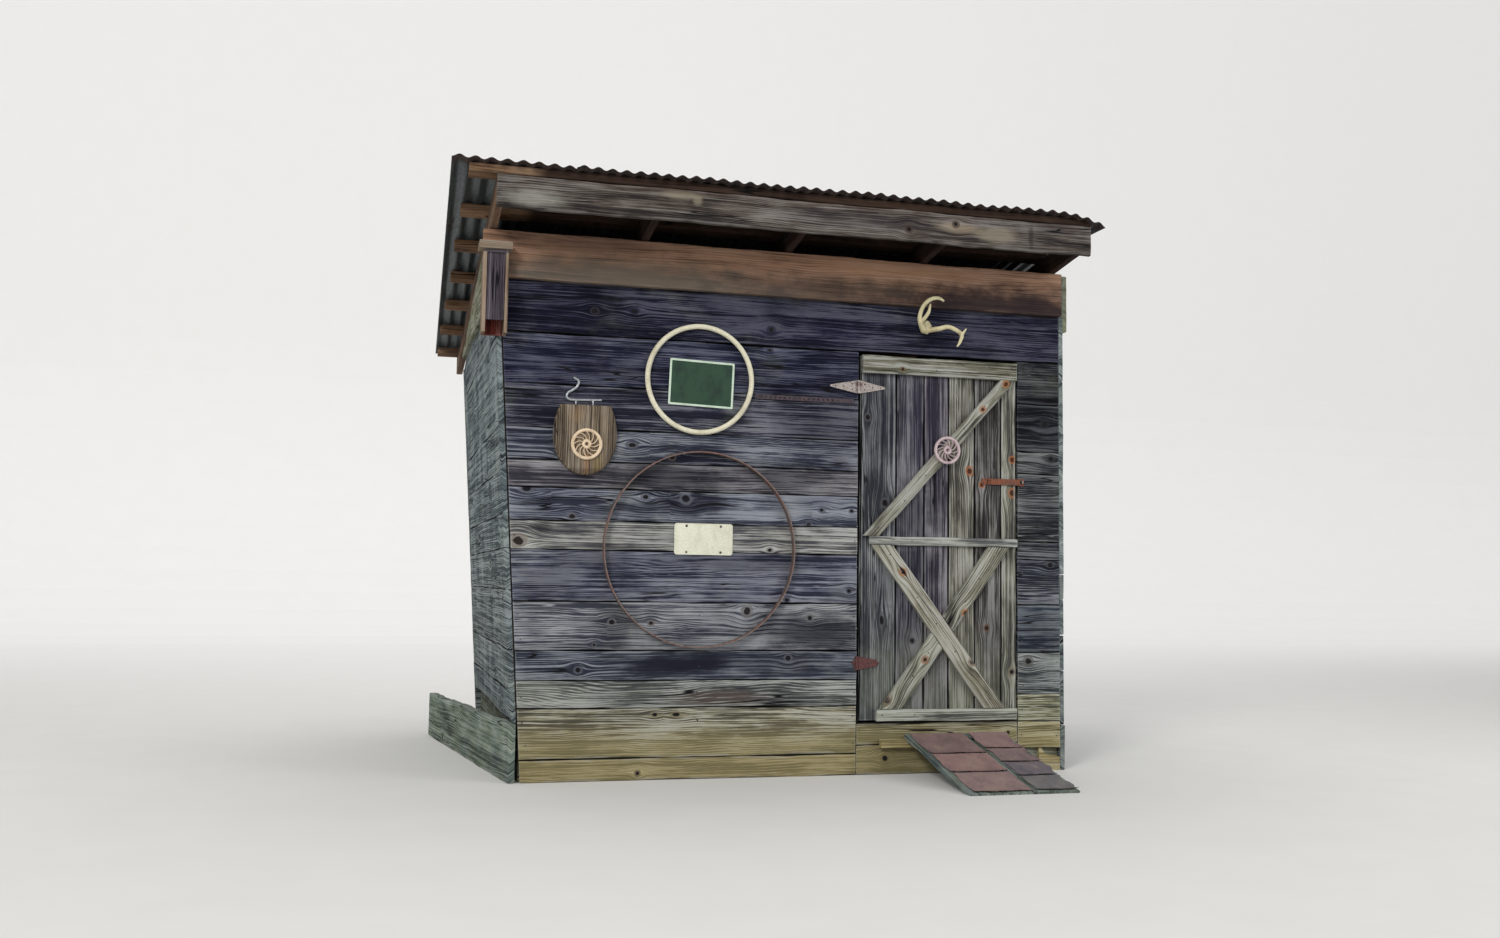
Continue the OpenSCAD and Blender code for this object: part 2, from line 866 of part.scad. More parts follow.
// Hook over the seat lid, and the rod along the lid's top on two short posts
module lid_hook() {
    y = front - bend_size * hook_d / 2 - touch;
    k = hook_w / 172;
    lid_top = lid_z + lid_h / 2;
    rod_z = lid_top + 2 * hook_d;
    color([0.78, 0.80, 0.82])
        translate([left + lid_x, y, base_h]) {
            translate([0, 0, rod_z])
                bent_rod(k * [[-59, 0, 109], [-38, 0, 94], [-46, 0, 66], [-88, 0, 36],
                              [-95, 0, 12], [-74, 0, 0], [75, 0, 4]], hook_d, true);
            for (x = k * [-50, 36])
                translate([x, 0, lid_top])
                    cylinder(d = hook_d * 0.7, h = rod_z - lid_top);
        }
}

// Iron strap between the rim and the doorway, with a row of holes that
// starts at its left end
module holed_strap() {
    x0 = left + rim_x + rim_d / 2 + holed_rim_gap;
    reach = opening_l - holed_door_gap - x0;
    margin = 1.2 * hole_pitch;
    n = min(holes_n, floor((reach - 2 * margin) / hole_pitch) + 1);
    color([0.35, 0.25, 0.22])
        translate([x0, front, base_h + holed_z])
            rotate([90, 0, 0])
                linear_extrude(strap_t)
                    difference() {
                        translate([0, -holed_h / 2])
                            square([reach, holed_h]);
                        for (i = [0 : n - 1])
                            translate([margin + i * hole_pitch, 0])
                                circle(d = 9);
                    }
}

// A tapering beam of antler through points [x, y, z, thickness]
module antler_beam(points) {
    k = antler_w / 255;
    for (i = [0 : len(points) - 2])
        hull()
            for (p = [points[i], points[i + 1]])
                translate(k * [p[0], -p[1], p[2]])
                    sphere(d = p[3] * antler_d, $fn = 12);
}

// Small antlers on a piece of skull, over the door, measured from the
// skull piece's middle
module antlers() {
    half = 0.14 * antler_w;
    color([0.85, 0.81, 0.65])
        translate([(door_l + door_r) / 2 - antler_x, front, opening_top + antler_z]) {
            block(-half, half, -0.8 * half, 0, -1.3 * half, 1.3 * half);
            antler_beam([[-20, 24, -28, 1.2], [-46, 50, 7, 1.1], [-56, 66, 47, 1], [-38, 76, 99, 0.95],
                         [-2, 82, 134, 0.9], [43, 82, 143, 0.8], [72, 80, 131, 0.5]]);
            antler_beam([[-46, 50, 7, 0.9], [-20, 92, 57, 0.8], [-13, 104, 101, 0.4]]);
            antler_beam([[18, 24, -21, 1.2], [57, 54, -16, 1.1], [102, 72, -7, 1], [145, 80, -22, 0.95],
                         [178, 80, -47, 0.9], [169, 78, -85, 0.7], [155, 76, -108, 0.4]]);
            antler_beam([[178, 80, -47, 0.7], [199, 88, -15, 0.35]]);
        }
}

// Tapered strap of a hinge, from its pin edge at x = gap to its tip
module strap_outline(reach, h, tip) {
    gap = knuckle_r + 2;
    polygon([[gap, -h / 2], [reach - tip, -tip], [reach, 0], [reach - tip, tip], [gap, h / 2]]);
}

// Knuckles number first, first + 2 and so on of five, round a pin line of
// the length h, each with a tab to a strap that starts at y = strap_y
module knuckles(first, h, bore, strap_y) {
    step = h / 5;
    tall = step - knuckle_play;
    difference() {
        for (i = [first : 2 : 4])
            translate([0, 0, -h / 2 + i * step + knuckle_play / 2]) {
                cylinder(r = knuckle_r, h = tall);
                translate([0, strap_y, 0])
                    cube([knuckle_r + 2 + cut, strap_t, tall]);
            }
        translate([0, 0, -h])
            cylinder(r = bore, h = 2 * h);
    }
}

// One leaf of a hinge at the height z, with side -1 for the wall's leaf,
// which carries the pin, and 1 for the door's leaf
module hinge_leaf(z, reach, h, tip, side) {
    strap_y = knuckle_r + touch - strap_t;
    on_wall = side < 0;
    translate([pin_x, pin_y, z])
        mirror([on_wall ? 1 : 0, 0, 0]) {
            knuckles(on_wall ? 0 : 1, h, on_wall ? pin_r - touch : pin_r + pin_play, strap_y);
            translate([0, knuckle_r + touch, 0])
                rotate([90, 0, 0])
                    linear_extrude(strap_t)
                        strap_outline(reach, h, tip);
            if (on_wall)
                translate([0, 0, -h / 2])
                    cylinder(r = pin_r, h = h);
        }
}

module hinge_wall_leaves() {
    color([0.62, 0.58, 0.53])
        hinge_leaf(door_z + upper_hinge_z, upper_wall_reach, upper_hinge_h, 6, -1);
    color([0.42, 0.24, 0.20])
        hinge_leaf(door_z + lower_hinge_z, lower_wall_reach, lower_hinge_h, lower_hinge_h / 4, -1);
}

module hinge_door_leaves() {
    color([0.62, 0.58, 0.53])
        hinge_leaf(door_z + upper_hinge_z, upper_door_reach, upper_hinge_h, 6, 1);
    color([0.42, 0.24, 0.20])
        hinge_leaf(door_z + lower_hinge_z, lower_door_reach, lower_hinge_h, lower_hinge_h / 4, 1);
}

// Door planks as one panel, with open seams cut into both faces
module door_planks() {
    seam_w = 5;
    seam_t = 8;
    color([0.45, 0.43, 0.36])
        difference() {
            block(door_l, door_r, front, front + door_t, door_z, door_top);
            for (s = seams)
                for (y = [front - cut, front + door_t - seam_t])
                    block(door_l + s * door_w - seam_w / 2, door_l + s * door_w + seam_w / 2,
                          y, y + seam_t + cut, door_z - cut, door_top + cut);
        }
}

// Top, middle and bottom rails of the door. The slim middle one has rounded
// front edges
module door_rails() {
    r = 10;
    mid_x0 = rail_x0 + 42;
    low_x0 = rail_x0 + 90;
    low_x1 = rail_x1 - 5;
    color([0.56, 0.56, 0.47]) {
        block(rail_x0, rail_x1, front - brace_t, front, top_low, door_top);
        block(low_x0, low_x1, front - brace_t, front, door_z, low_top);
        translate([mid_x0, front, mid_low])
            rotate([90, 0, 90])
                linear_extrude(rail_x1 - mid_x0)
                    union() {
                        translate([-brace_t + r, 0])
                            square([brace_t - r, mid_rail_h]);
                        translate([-brace_t, r])
                            square([brace_t, mid_rail_h - 2 * r]);
                        for (z = [r, mid_rail_h - r])
                            translate([-brace_t + r, z])
                                circle(r = r);
                    }
    }
}

// A slanted brace w wide with level ends, whose middle line runs from the
// point a up to the point b, and which is thicker by extra on both faces
module brace(a, b, w, extra = 0) {
    half = [w / 2 / cos(atan((b[0] - a[0]) / (b[1] - a[1]))), 0];
    on_front(front + extra, brace_t + 2 * extra)
        polygon([a - half, a + half, b + half, b - half]);
}

module door_upper_brace() {
    color([0.50, 0.49, 0.41])
        brace(upper_foot, upper_head, upper_brace_w);
}

module door_long_brace() {
    color([0.57, 0.55, 0.44])
        brace(long_foot, long_head, lower_brace_w);
}

// The short brace, in two pieces: the lower one is cut to the long brace's
// edge and the upper one is broken off short of it
module door_short_brace() {
    cut_gap = 2;
    low_share = 0.44;
    high_share = 0.58;
    span = short_head - short_foot;
    color([0.57, 0.55, 0.44])
        difference() {
            union() {
                brace(short_foot, short_foot + low_share * span, lower_brace_w);
                brace(short_foot + high_share * span, short_head, lower_brace_w);
            }
            brace(long_foot, long_head, lower_brace_w + 2 * cut_gap, cut);
        }
}

// Rosette near the middle of the upper brace
module door_rosette() {
    share = 0.54;
    size = 0.95;
    at = upper_foot + share * (upper_head - upper_foot);
    color([0.85, 0.72, 0.66])
        translate([at[0], front - brace_t, at[1]])
            rotate([90, 0, 0])
                rosette(rosette_d * size, rosette_t);
}

// Hasp: a plate on the door, a strap that swings on its pin, and a staple
// on the wall that comes through the strap's slot
module hasp_staple() {
    staple_d = 4;
    x = door_r + staple_out;
    reach = 26;
    half = slot_h / 2 - 7;
    color([0.75, 0.74, 0.70])
        bent_rod([[x, front, hasp_mid_z - half], [x, front - reach, hasp_mid_z - half],
                  [x, front - reach, hasp_mid_z + half], [x, front, hasp_mid_z + half]],
                 staple_d, false);
}

module hasp_plate() {
    strap_y = knuckle_r + touch - strap_t;
    base_len = 30;
    color([0.50, 0.30, 0.22])
        translate([hasp_pin_x, pin_y, hasp_mid_z]) {
            mirror([1, 0, 0]) {
                knuckles(0, hasp_h, hasp_pin_r - touch, strap_y);
                translate([knuckle_r + 2, strap_y, -hasp_h / 2])
                    cube([base_len, strap_t, hasp_h]);
            }
            translate([0, 0, -hasp_h / 2])
                cylinder(r = hasp_pin_r, h = hasp_h);
        }
}

module hasp_strap() {
    end_h = slot_h + 14;
    end_len = 16;
    strap_y = knuckle_r + touch - hasp_lift - strap_t;
    color([0.52, 0.30, 0.20])
        translate([hasp_pin_x, pin_y, hasp_mid_z]) {
            knuckles(1, hasp_h, hasp_pin_r + pin_play, strap_y);
            difference() {
                union() {
                    translate([knuckle_r + 2, strap_y, -hasp_h / 2])
                        cube([hasp_len - knuckle_r - 2, strap_t, hasp_h]);
                    translate([hasp_len - end_len, strap_y, -end_h / 2])
                        cube([2 * end_len, strap_t, end_h]);
                }
                translate([hasp_len - slot_w / 2, strap_y - cut, -slot_h / 2])
                    cube([slot_w, strap_t + 2 * cut, slot_h]);
            }
        }
}

floor_skids();
floor_joists();
floor_planks();
wall_posts();
top_plates();
side_plates();
front_wall_left();
front_wall_right();
front_wall_over_door();
door_sill();
left_wall();
right_wall();
back_wall();
header_board();
side_frieze_boards();
rafters();
fascia_board();
purlins();
roof_sheets_under();
roof_sheets_over();
corner_block();
skirt_board();
ramp_boards();
ramp_cleat();
corner_box();
corner_box_cap();
round_rim();
sign_plate();
iron_hoop();
number_plate();
seat_lid();
lid_hook();
lid_rosette();
holed_strap();
antlers();
hinge_wall_leaves();
hasp_staple();
door_planks();
door_rails();
door_upper_brace();
door_long_brace();
door_short_brace();
door_rosette();
hinge_door_leaves();
hasp_plate();
hasp_strap();
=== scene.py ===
import math
import random

import bmesh
import bpy
import numpy as np
from mathutils import Matrix, Vector


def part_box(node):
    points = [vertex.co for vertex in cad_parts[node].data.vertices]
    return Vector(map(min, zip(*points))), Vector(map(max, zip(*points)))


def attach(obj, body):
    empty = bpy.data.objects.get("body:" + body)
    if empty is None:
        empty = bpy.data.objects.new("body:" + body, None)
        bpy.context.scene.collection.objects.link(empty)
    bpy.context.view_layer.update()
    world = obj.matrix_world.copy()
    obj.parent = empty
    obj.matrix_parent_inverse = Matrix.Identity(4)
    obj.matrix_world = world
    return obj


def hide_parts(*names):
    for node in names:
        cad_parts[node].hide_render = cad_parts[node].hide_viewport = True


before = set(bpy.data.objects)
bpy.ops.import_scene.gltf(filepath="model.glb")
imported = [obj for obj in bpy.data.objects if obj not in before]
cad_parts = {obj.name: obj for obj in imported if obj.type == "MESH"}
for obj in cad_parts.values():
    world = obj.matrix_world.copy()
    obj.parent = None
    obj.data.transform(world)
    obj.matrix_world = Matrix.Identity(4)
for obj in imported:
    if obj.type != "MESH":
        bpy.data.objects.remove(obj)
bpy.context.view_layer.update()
rng = random.Random(11)

# Main sizes in metres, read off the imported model
wall_lo, wall_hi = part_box("right_wall")
door_lo, door_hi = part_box("door_planks")
sill_lo, sill_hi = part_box("door_sill")
rafter_lo, rafter_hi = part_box("rafters")
RIGHT_IN, RIGHT = wall_lo.x, wall_hi.x
LEFT = -RIGHT
FRONT, BACK_IN = wall_lo.y, wall_hi.y
BOARD = RIGHT - RIGHT_IN
BACK = BACK_IN + BOARD
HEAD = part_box("header_board")[1].z
DOOR_L, DOOR_R = door_lo.x, door_hi.x
DOOR_Z, DOOR_TOP = door_lo.z, door_hi.z
DOOR_W = DOOR_R - DOOR_L
OPEN_L, OPEN_R = sill_lo.x, sill_hi.x
OPEN_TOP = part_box("front_wall_over_door")[0].z
RAFTER_Y0, RAFTER_Y1 = rafter_lo.y, rafter_hi.y
SHEET_Y0, SHEET_Y1 = RAFTER_Y0 - 0.06, RAFTER_Y1 + 0.06
FLOOR = sill_hi.z

# Slopes and places that the model's boxes don't give, as in the part's source
BASE = 0.12
PITCH = math.radians(8)
SLOPE = math.tan(PITCH)
LEAN = math.tan(math.radians(3.77))
RAFTER_H, RAFTER_T, RAFTER_N = 0.110, 0.038, 5
PURLIN_T, PURLIN_W, PURLIN_N = 0.038, 0.089, 7
PURLIN_LOW = RAFTER_H / math.cos(PITCH)
SHEET_LOW = PURLIN_LOW + PURLIN_T / math.cos(PITCH)

X, Y, Z = (1, 0, 0), (0, 1, 0), (0, 0, 1)
LEFTWARD, FORWARD, DOWN = (-1, 0, 0), (0, -1, 0), (0, 0, -1)


def under_rafter(y):
    return HEAD - SLOPE * (y - FRONT)


def lean_at(z):
    return LEAN * (z - BASE)


def srgb(*color):
    linear = [c / 255 / 12.92 if c / 255 <= 0.04045 else ((c / 255 + 0.055) / 1.055) ** 2.4 for c in color]
    return (*linear, 1.0)


def darker(color, k):
    return srgb(*(c * k for c in color))


# Building blocks of the node materials, which are kept by name in MATERIALS
MATERIALS = {}
NAVY = (22, 22, 36)


class Value:
    """What comes out of a node, with plain arithmetic on it."""

    def __init__(self, graph, socket):
        self.graph, self.socket = graph, socket

    def __add__(self, other):
        return self.graph.math("ADD", self, other)

    def __sub__(self, other):
        return self.graph.math("SUBTRACT", self, other)

    def __rsub__(self, other):
        return self.graph.math("SUBTRACT", other, self)

    def __mul__(self, other):
        return self.graph.math("MULTIPLY", self, other)

    def __truediv__(self, other):
        return self.graph.math("DIVIDE", self, other)


class Graph:
    """The nodes of one material."""

    def __init__(self, name):
        self.mat = MATERIALS[name] = bpy.data.materials.new(name)
        self.mat.use_nodes = True
        self.tree = self.mat.node_tree
        self.bsdf = self.tree.nodes["Principled BSDF"]
        self.place = self.node("TexCoord", {}, "Object")
        self.px, self.py, self.pz = self.split(self.place)

    def put(self, socket, value):
        if isinstance(value, Value):
            self.tree.links.new(value.socket, socket)
        else:
            socket.default_value = value

    def node(self, kind, inputs, output=0, **props):
        """Adds a node and gives one of its outputs, or all of them if output is None."""
        n = self.tree.nodes.new("ShaderNode" + kind)
        for key, value in props.items():
            setattr(n, key, value)
        for key, value in inputs.items():
            self.put(n.inputs[key], value)
        return [Value(self, s) for s in n.outputs] if output is None else Value(self, n.outputs[output])

    def shader(self, **values):
        """Sets inputs of the shader, named with _ for each space."""
        for key, value in values.items():
            self.put(self.bsdf.inputs[key.replace("_", " ")], value)

    def math(self, op, *values):
        return self.node("Math", dict(enumerate(values)), operation=op)

    def centred(self, v, k):
        """(v - 0.5) * k in one node."""
        return self.math("MULTIPLY_ADD", v, k, -0.5 * k)

    def span(self, v, a, b, c=0.0, d=1.0, kind="SMOOTHSTEP"):
        """Takes a to b over to c to d."""
        return self.node("MapRange", dict(enumerate((v, a, b, c, d))), interpolation_type=kind)

    def thin(self, noise, a, b):
        """A thin line wherever the noise passes through its middle."""
        return self.span(self.math("ABSOLUTE", self.centred(noise, 1.0)), a, b)

    def mix(self, fac, a, b, blend="MIX"):
        return self.node("Mix", {0: fac, 6: a, 7: b}, 2, data_type="RGBA", blend_type=blend)

    def times(self, a, *color):
        return self.mix(1.0, a, (*color, 1)[:4], "MULTIPLY")

    def split(self, v):
        return self.node("SeparateXYZ", {0: v}, None)

    def attribute(self, name, output="Fac"):
        return self.node("Attribute", {}, output, attribute_name=name)

    def noise(self, v, detail=2.0, rough=0.5):
        return self.node("TexNoise", {"Vector": v, "Scale": 1.0, "Detail": detail, "Roughness": rough})

    def at(self, x, y, z, detail=2.0, rough=0.5):
        """Noise over the place in the shared frame, at x, y and z cells a metre."""
        v = self.node("VectorMath", {0: self.place, 1: (x, y, z)}, operation="MULTIPLY")
        return self.noise(v, detail, rough)

    def spots(self, color, spots):
        """Soft stains and painted shade, each given as x, z, half width, half height, strength and, if not
        navy, colour.
        """
        ragged = self.centred(self.at(9, 9, 16, 3, 0.6), 0.9) if spots else None
        for x, z, rx, rz, strength, *stain in spots:
            dx = self.math("MULTIPLY_ADD", self.px, 1 / rx, -x / rx)
            dz = self.math("MULTIPLY_ADD", self.pz, 1 / rz, -z / rz)
            away = self.math("SQRT", dx * dx + dz * dz)
            amount = self.span(away + ragged, 1.2, 0.35, 0.0, strength)
            color = self.mix(amount, color, self.mix(0.75, color, srgb(*(stain or NAVY))))
        return color

    def finish(self, color, rough, height, dist, strength, spec=0.3, metallic=0.0):
        bump = self.node("Bump", {"Strength": strength, "Distance": dist, "Height": height})
        self.shader(Base_Color=color, Roughness=rough, Metallic=metallic, Specular_IOR_Level=spec,
                    Normal=bump)


def wood(name, tint=None, axis=None, contrast=1.0, stain=0.5, moss=0.0, moss_color=(104, 120, 96),
         low_moss=0.0, knot_rim=(150, 96, 52), pale=0.0, joint=0.0, wear=0.5, spots=(), low_color=None,
         smooth=1.0, blotch=(2.6, 8, 2.1), grain=1.0, cracks=1.0, painted_shade_within=None, bloomed=0.0):
    """Weathered wood, with grain lines that flow along each board and part round its knots.

    Boards made here carry their grain's coordinates as the UV map grain, the distance to their
    edges as the UV map rim, and their colour, seed and nearest knot as attributes. A solid that
    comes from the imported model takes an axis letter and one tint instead."""
    g = Graph(name)
    if axis:
        s, a, b = {"X": (g.px, g.py, g.pz), "Y": (g.py, g.px, g.pz), "Z": (g.pz, g.px, g.py)}[axis]
        t = a + b
        seed = g.math("ROUND", (a - b) * 6.0) * 1.7
        base, board_stain = srgb(*tint), 1.0
    else:
        s, t, _ = g.split(g.node("UVMap", {}, uv_map="grain"))
        seed = g.attribute("seed")
        base, board_stain = g.attribute("tint", "Color"), g.attribute("tint", "Alpha")

    def cells(along, across, shift, detail=2, rough=0.5, of=t):
        """Noise with so many cells a metre along the grain and across it."""
        v = g.node("CombineXYZ", {0: s * along, 1: of * across, 2: seed + shift})
        return g.noise(v, detail, rough)

    warp = g.centred(cells(0.75, 4.6, 0, 1), 0.060 * smooth)
    line = t + warp + g.centred(cells(4.0, 16, 7.3, 1), 0.007 * smooth)
    if not axis:
        knot_s, knot_t, knot_r = g.split(g.attribute("knot", "Vector"))
        r = g.math("MAXIMUM", knot_r, 0.002)
        ds = (s - knot_s) / (r * g.math("MAXIMUM", g.attribute("knot", "Alpha"), 0.5))
        dt = (t - knot_t) / r
        shown = g.math("GREATER_THAN", knot_r, 0.003)
        ds2, dt2 = ds * ds, dt * dt
        fall = g.math("EXPONENT", (ds2 * 0.13 + dt2 * 0.16) * -1.0)
        line = line - (t - knot_t) * (shown * fall * 0.92)
        away = g.math("SQRT", ds2 + dt2) + g.centred(cells(30, 45, 0), 0.55)
        core = g.span(away, 0.78, 0.5) * shown
        ring_of = g.span(away, 1.35, 1.0) * g.span(away, 0.55, 0.8) * shown
    wide = cells(0.8, 30 * grain, 0, of=line)
    streak = cells(1.3, 112 * grain, 1, 4, 0.65, line)
    fine = cells(4.5, 330 * grain, 2, 3, 0.65, line)
    patch = cells(blotch[0], blotch[1], 3, 4, 0.6)
    # Year rings, as fine lines that bend into long arches
    arch = g.centred(cells(1.1, 5.5, 9), 0.16 * min(smooth, 0.8))
    rings = g.math("SINE", (line + arch) * (2 * math.pi * 88 * grain))
    rings = rings * g.span(cells(1.6, 7, 13), 0.40, 0.62) * (0.26 * contrast)
    tone = rings + 0.5
    for part, share in ((wide, 1.2), (streak, 2.6), (fine, 1.6), (patch, blotch[2])):
        tone = tone + g.centred(part, share * contrast)
    # The greyer and less stained a board is, the paler its ridges
    pale_part = 0.36 + pale if axis else g.math("MULTIPLY_ADD", board_stain, -0.42, 0.60 + pale)
    light = g.mix(pale_part, g.times(base, 1.42, 1.42, 1.42), srgb(184, 186, 186))
    color = g.mix(g.span(tone, 0.08, 0.50, kind="LINEAR"), g.times(base, 0.25, 0.255, 0.31), base)
    color = g.mix(g.span(tone, 0.54, 1.05, 0, 0.95, "LINEAR"), color, light)
    # Thin pale ridges that follow the grain, in patches
    ridge = g.thin(cells(1.3, 34, 4, of=line), 0.020, 0.0) * g.span(cells(1.2, 6, 6, 1), 0.48, 0.62)
    color = g.mix(ridge * (0.42 * contrast), color, light)
    # Stains over one board, and stains that pass over several
    on_board = g.span(cells(1.1, 3.4, 5, 3, 0.6), 0.47, 0.66)
    over_all = g.span(g.at(1.5, 1.5, 2.4, 4, 0.6), 0.50, 0.70)
    bloom = g.span(g.at(2.6, 2.6, 3.4, 5, 0.62) + g.centred(streak, 0.30), 0.52, 0.70) * (0.55 * bloomed)
    color = g.mix(bloom, color, g.mix(0.5, g.times(color, 1.5, 1.5, 1.4), srgb(126, 130, 116)))
    amount = g.math("MAXIMUM", on_board, over_all) * board_stain * stain
    color = g.mix(amount, color, g.times(color, 0.30, 0.305, 0.40))
    color = g.spots(color, spots)
    if low_color:
        foot = g.span(g.pz + g.centred(patch, 0.16), 0.32, 0.14) * 0.82
        shade = g.mix(g.span(tone, 0.0, 1.0), (0.80, 0.80, 0.78, 1), (1.2, 1.18, 1.12, 1))
        color = g.mix(foot, color, g.times(shade, *srgb(*low_color)))
    if moss or low_moss:
        growth = g.at(4.5, 4.5, 4.5, 5, 0.65)
        near_ground = g.span(g.pz, 0.75, 0.05) * g.span(growth, 0.34, 0.6) * low_moss
        green = g.math("MAXIMUM", g.span(growth, 0.44, 0.66) * moss, near_ground)
        moss_tone = g.mix(g.span(tone, 0.2, 0.8), darker(moss_color, 0.62), srgb(*moss_color))
        color = g.mix(green, color, moss_tone)
    crack = g.thin(cells(0.9, 17, 11, of=line), 0.014, 0.003)
    crack = crack * (g.span(cells(1.1, 3, 2.5, 1), 0.54, 0.60) * cracks)
    height = tone * 0.6 - crack
    if not axis:
        style = g.attribute("knot_style")
        rim_color = g.mix(style, g.times(base, 0.62, 0.58, 0.55), srgb(*knot_rim))
        core_color = g.mix(style, srgb(22, 20, 24), g.times(srgb(*knot_rim), 0.22, 0.2, 0.2))
        color = g.mix(core, g.mix(ring_of * 0.8, color, rim_color), core_color)
        height = height - core * 0.9
        side_way, end_way, _ = g.split(g.node("UVMap", {}, uv_map="rim"))
        worn = g.span(side_way, 0.018, 0.004) * g.span(cells(5, 5, 0), 0.44, 0.60)
        tips = g.span(end_way, 0.008, 0.0) * g.span(streak, 0.35, 0.6)
        color = g.mix(tips * wear, g.mix(worn * wear, color, light), light)
        color = g.mix(g.span(side_way, 0.0042, 0.0012) * joint, color, srgb(13, 13, 16))
    color = g.mix(crack, color, srgb(15, 15, 18))
    # Painted shade: roof timbers are darkened all along except their ends past the walls, as if shaded by the
    # roof
    if painted_shade_within is not None:
        within = g.span(g.math("ABSOLUTE", g.px), painted_shade_within, painted_shade_within - 0.10) * 0.96
        color = g.mix(within, color, g.times(color, 0.12, 0.10, 0.11))
    g.finish(color, g.span(tone, 0.0, 1.0, 0.98, 0.82), height, 0.003, 0.8, 0.18)


def metal(name, clean, rust, amount, scale=18.0, dark=(30, 20, 18), metallic=0.6, rusty_at=None):
    """Iron or steel with rust in blotches, and more of it near rusty_at, given as a place's x and z."""
    g = Graph(name)
    fine = g.at(scale * 9, scale * 9, scale * 9, 3, 0.6)
    level = g.at(scale, scale, scale, 6, 0.65) + g.centred(fine, 0.25)
    if rusty_at:
        x, z = rusty_at
        level = level + g.span(g.math("ABSOLUTE", g.px - x), 0.035, 0.004, 0.0, 0.16)
        level = level + g.span(g.pz, z + 0.1, z, 0.0, 0.5)
    mask = g.span(level, 0.66 - 0.34 * amount, 0.80 - 0.34 * amount)
    bare = g.mix(g.span(fine, 0.35, 0.75), darker(clean, 0.72), srgb(*clean))
    rusty = g.mix(g.span(fine, 0.25, 0.7), srgb(*dark), srgb(*rust))
    height = mask * 0.6 + fine * 0.6
    g.finish(g.mix(mask, bare, rusty), g.span(mask, 0, 1, 0.45, 0.9), height, 0.0012, 0.5, 0.4,
             (1.0 - mask) * metallic)


def paint(name, color, dirt, amount, scale, rough=0.5, chips=None):
    """Old paint, bone or plastic, with dirt in patches and some chips."""
    g = Graph(name)
    dirty = g.at(scale, scale, scale * 0.6, 5, 0.62)
    fine = g.at(scale * 14, scale * 14, scale * 14, 3, 0.6)
    c = g.mix(g.span(fine, 0.3, 0.72), darker(color, 0.9), srgb(*color))
    c = g.mix(g.span(dirty, 0.46, 0.72) * amount, c, srgb(*dirt))
    height = fine * 0.4
    if chips:
        chip = g.span(g.at(60, 60, 60, 4, 0.6), 0.66, 0.69)
        c = g.mix(chip, c, srgb(*chips))
        height = height - chip
    g.finish(c, g.span(dirty, 0.3, 0.7, rough, rough + 0.3), height, 0.0008, 0.4)


def grit(name):
    """Mineral roofing felt in the colour of each panel's attribute tint."""
    g = Graph(name)
    base = g.attribute("tint", "Color")
    grain = g.at(420, 420, 420, 2, 0.7)
    cloud = g.at(13, 10, 13, 5, 0.65)
    c = g.mix(g.span(grain, 0.38, 0.62), g.times(base, 0.62, 0.62, 0.64), g.times(base, 1.3, 1.28, 1.28))
    c = g.mix(g.span(cloud, 0.45, 0.66) * 0.55, c, g.times(c, 0.58, 0.6, 0.70))
    c = g.mix(g.span(cloud, 0.44, 0.30) * 0.30, c, srgb(150, 142, 122))
    g.finish(c, g.span(grain, 0.2, 0.8, 0.98, 0.85), grain, 0.0015, 0.6, 0.2)


def zinc(name):
    """Corrugated sheet: grey above and below, with rust in runs and brown along the ends."""
    g = Graph(name)
    fine = g.at(90, 30, 90, 4, 0.6)
    run_down = g.at(40, 1.2, 4, 3, 0.6)
    ends = g.math("MAXIMUM", g.span(g.py, SHEET_Y0 + 0.14, SHEET_Y0 + 0.01),
                  g.span(g.py, SHEET_Y1 - 0.10, SHEET_Y1))
    rust = g.math("MAXIMUM", g.span(g.at(5, 1.6, 5, 6, 0.65) + g.centred(run_down, 0.7), 0.58, 0.74),
                  g.span(ends * 0.55 + g.centred(fine, 0.8), 0.12, 0.5))
    clean = g.mix(g.span(fine, 0.3, 0.7), srgb(58, 66, 68), srgb(88, 95, 97))
    clean = g.mix(g.span(run_down, 0.45, 0.7), clean, srgb(44, 48, 54))
    brown = g.mix(g.span(fine, 0.3, 0.7), srgb(34, 26, 26), srgb(74, 56, 49))
    g.finish(g.mix(rust * 0.92, clean, brown), g.span(rust, 0, 1, 0.5, 0.92), fine * 0.4 + rust, 0.001,
             0.4, 0.4, (1.0 - rust) * 0.5)


# Meshes: a seeded wobble, boards, and small round and flat shapes
class Wave:
    """A smooth seeded wobble along a length."""

    def __init__(self, size, waves=(1.1, 0.43, 0.17, 0.07), shares=(1, 0.7, 0.4, 0.22)):
        self.parts = [(size * share, 2 * math.pi / wave, rng.uniform(0, 6.28))
                      for wave, share in zip(waves, shares)]

    def __call__(self, s):
        return sum(size * np.sin(k * s + start) for size, k, start in self.parts)


def unit(v):
    v = np.array(v, float)
    return v / np.linalg.norm(v)


def turns(n):
    """The angles of n points round a circle."""
    return [2 * math.pi * k / n for k in range(n)]


def vary(color, amount=0.06):
    k = 1 + rng.uniform(-amount, amount)
    w = rng.uniform(-0.03, 0.03)
    r, g, b, _ = srgb(*color)
    return (r * k * (1 + w), g * k, b * k * (1 - w), 1.0)


def link(name, data):
    o = bpy.data.objects.new(name, data)
    bpy.context.scene.collection.objects.link(o)
    return o


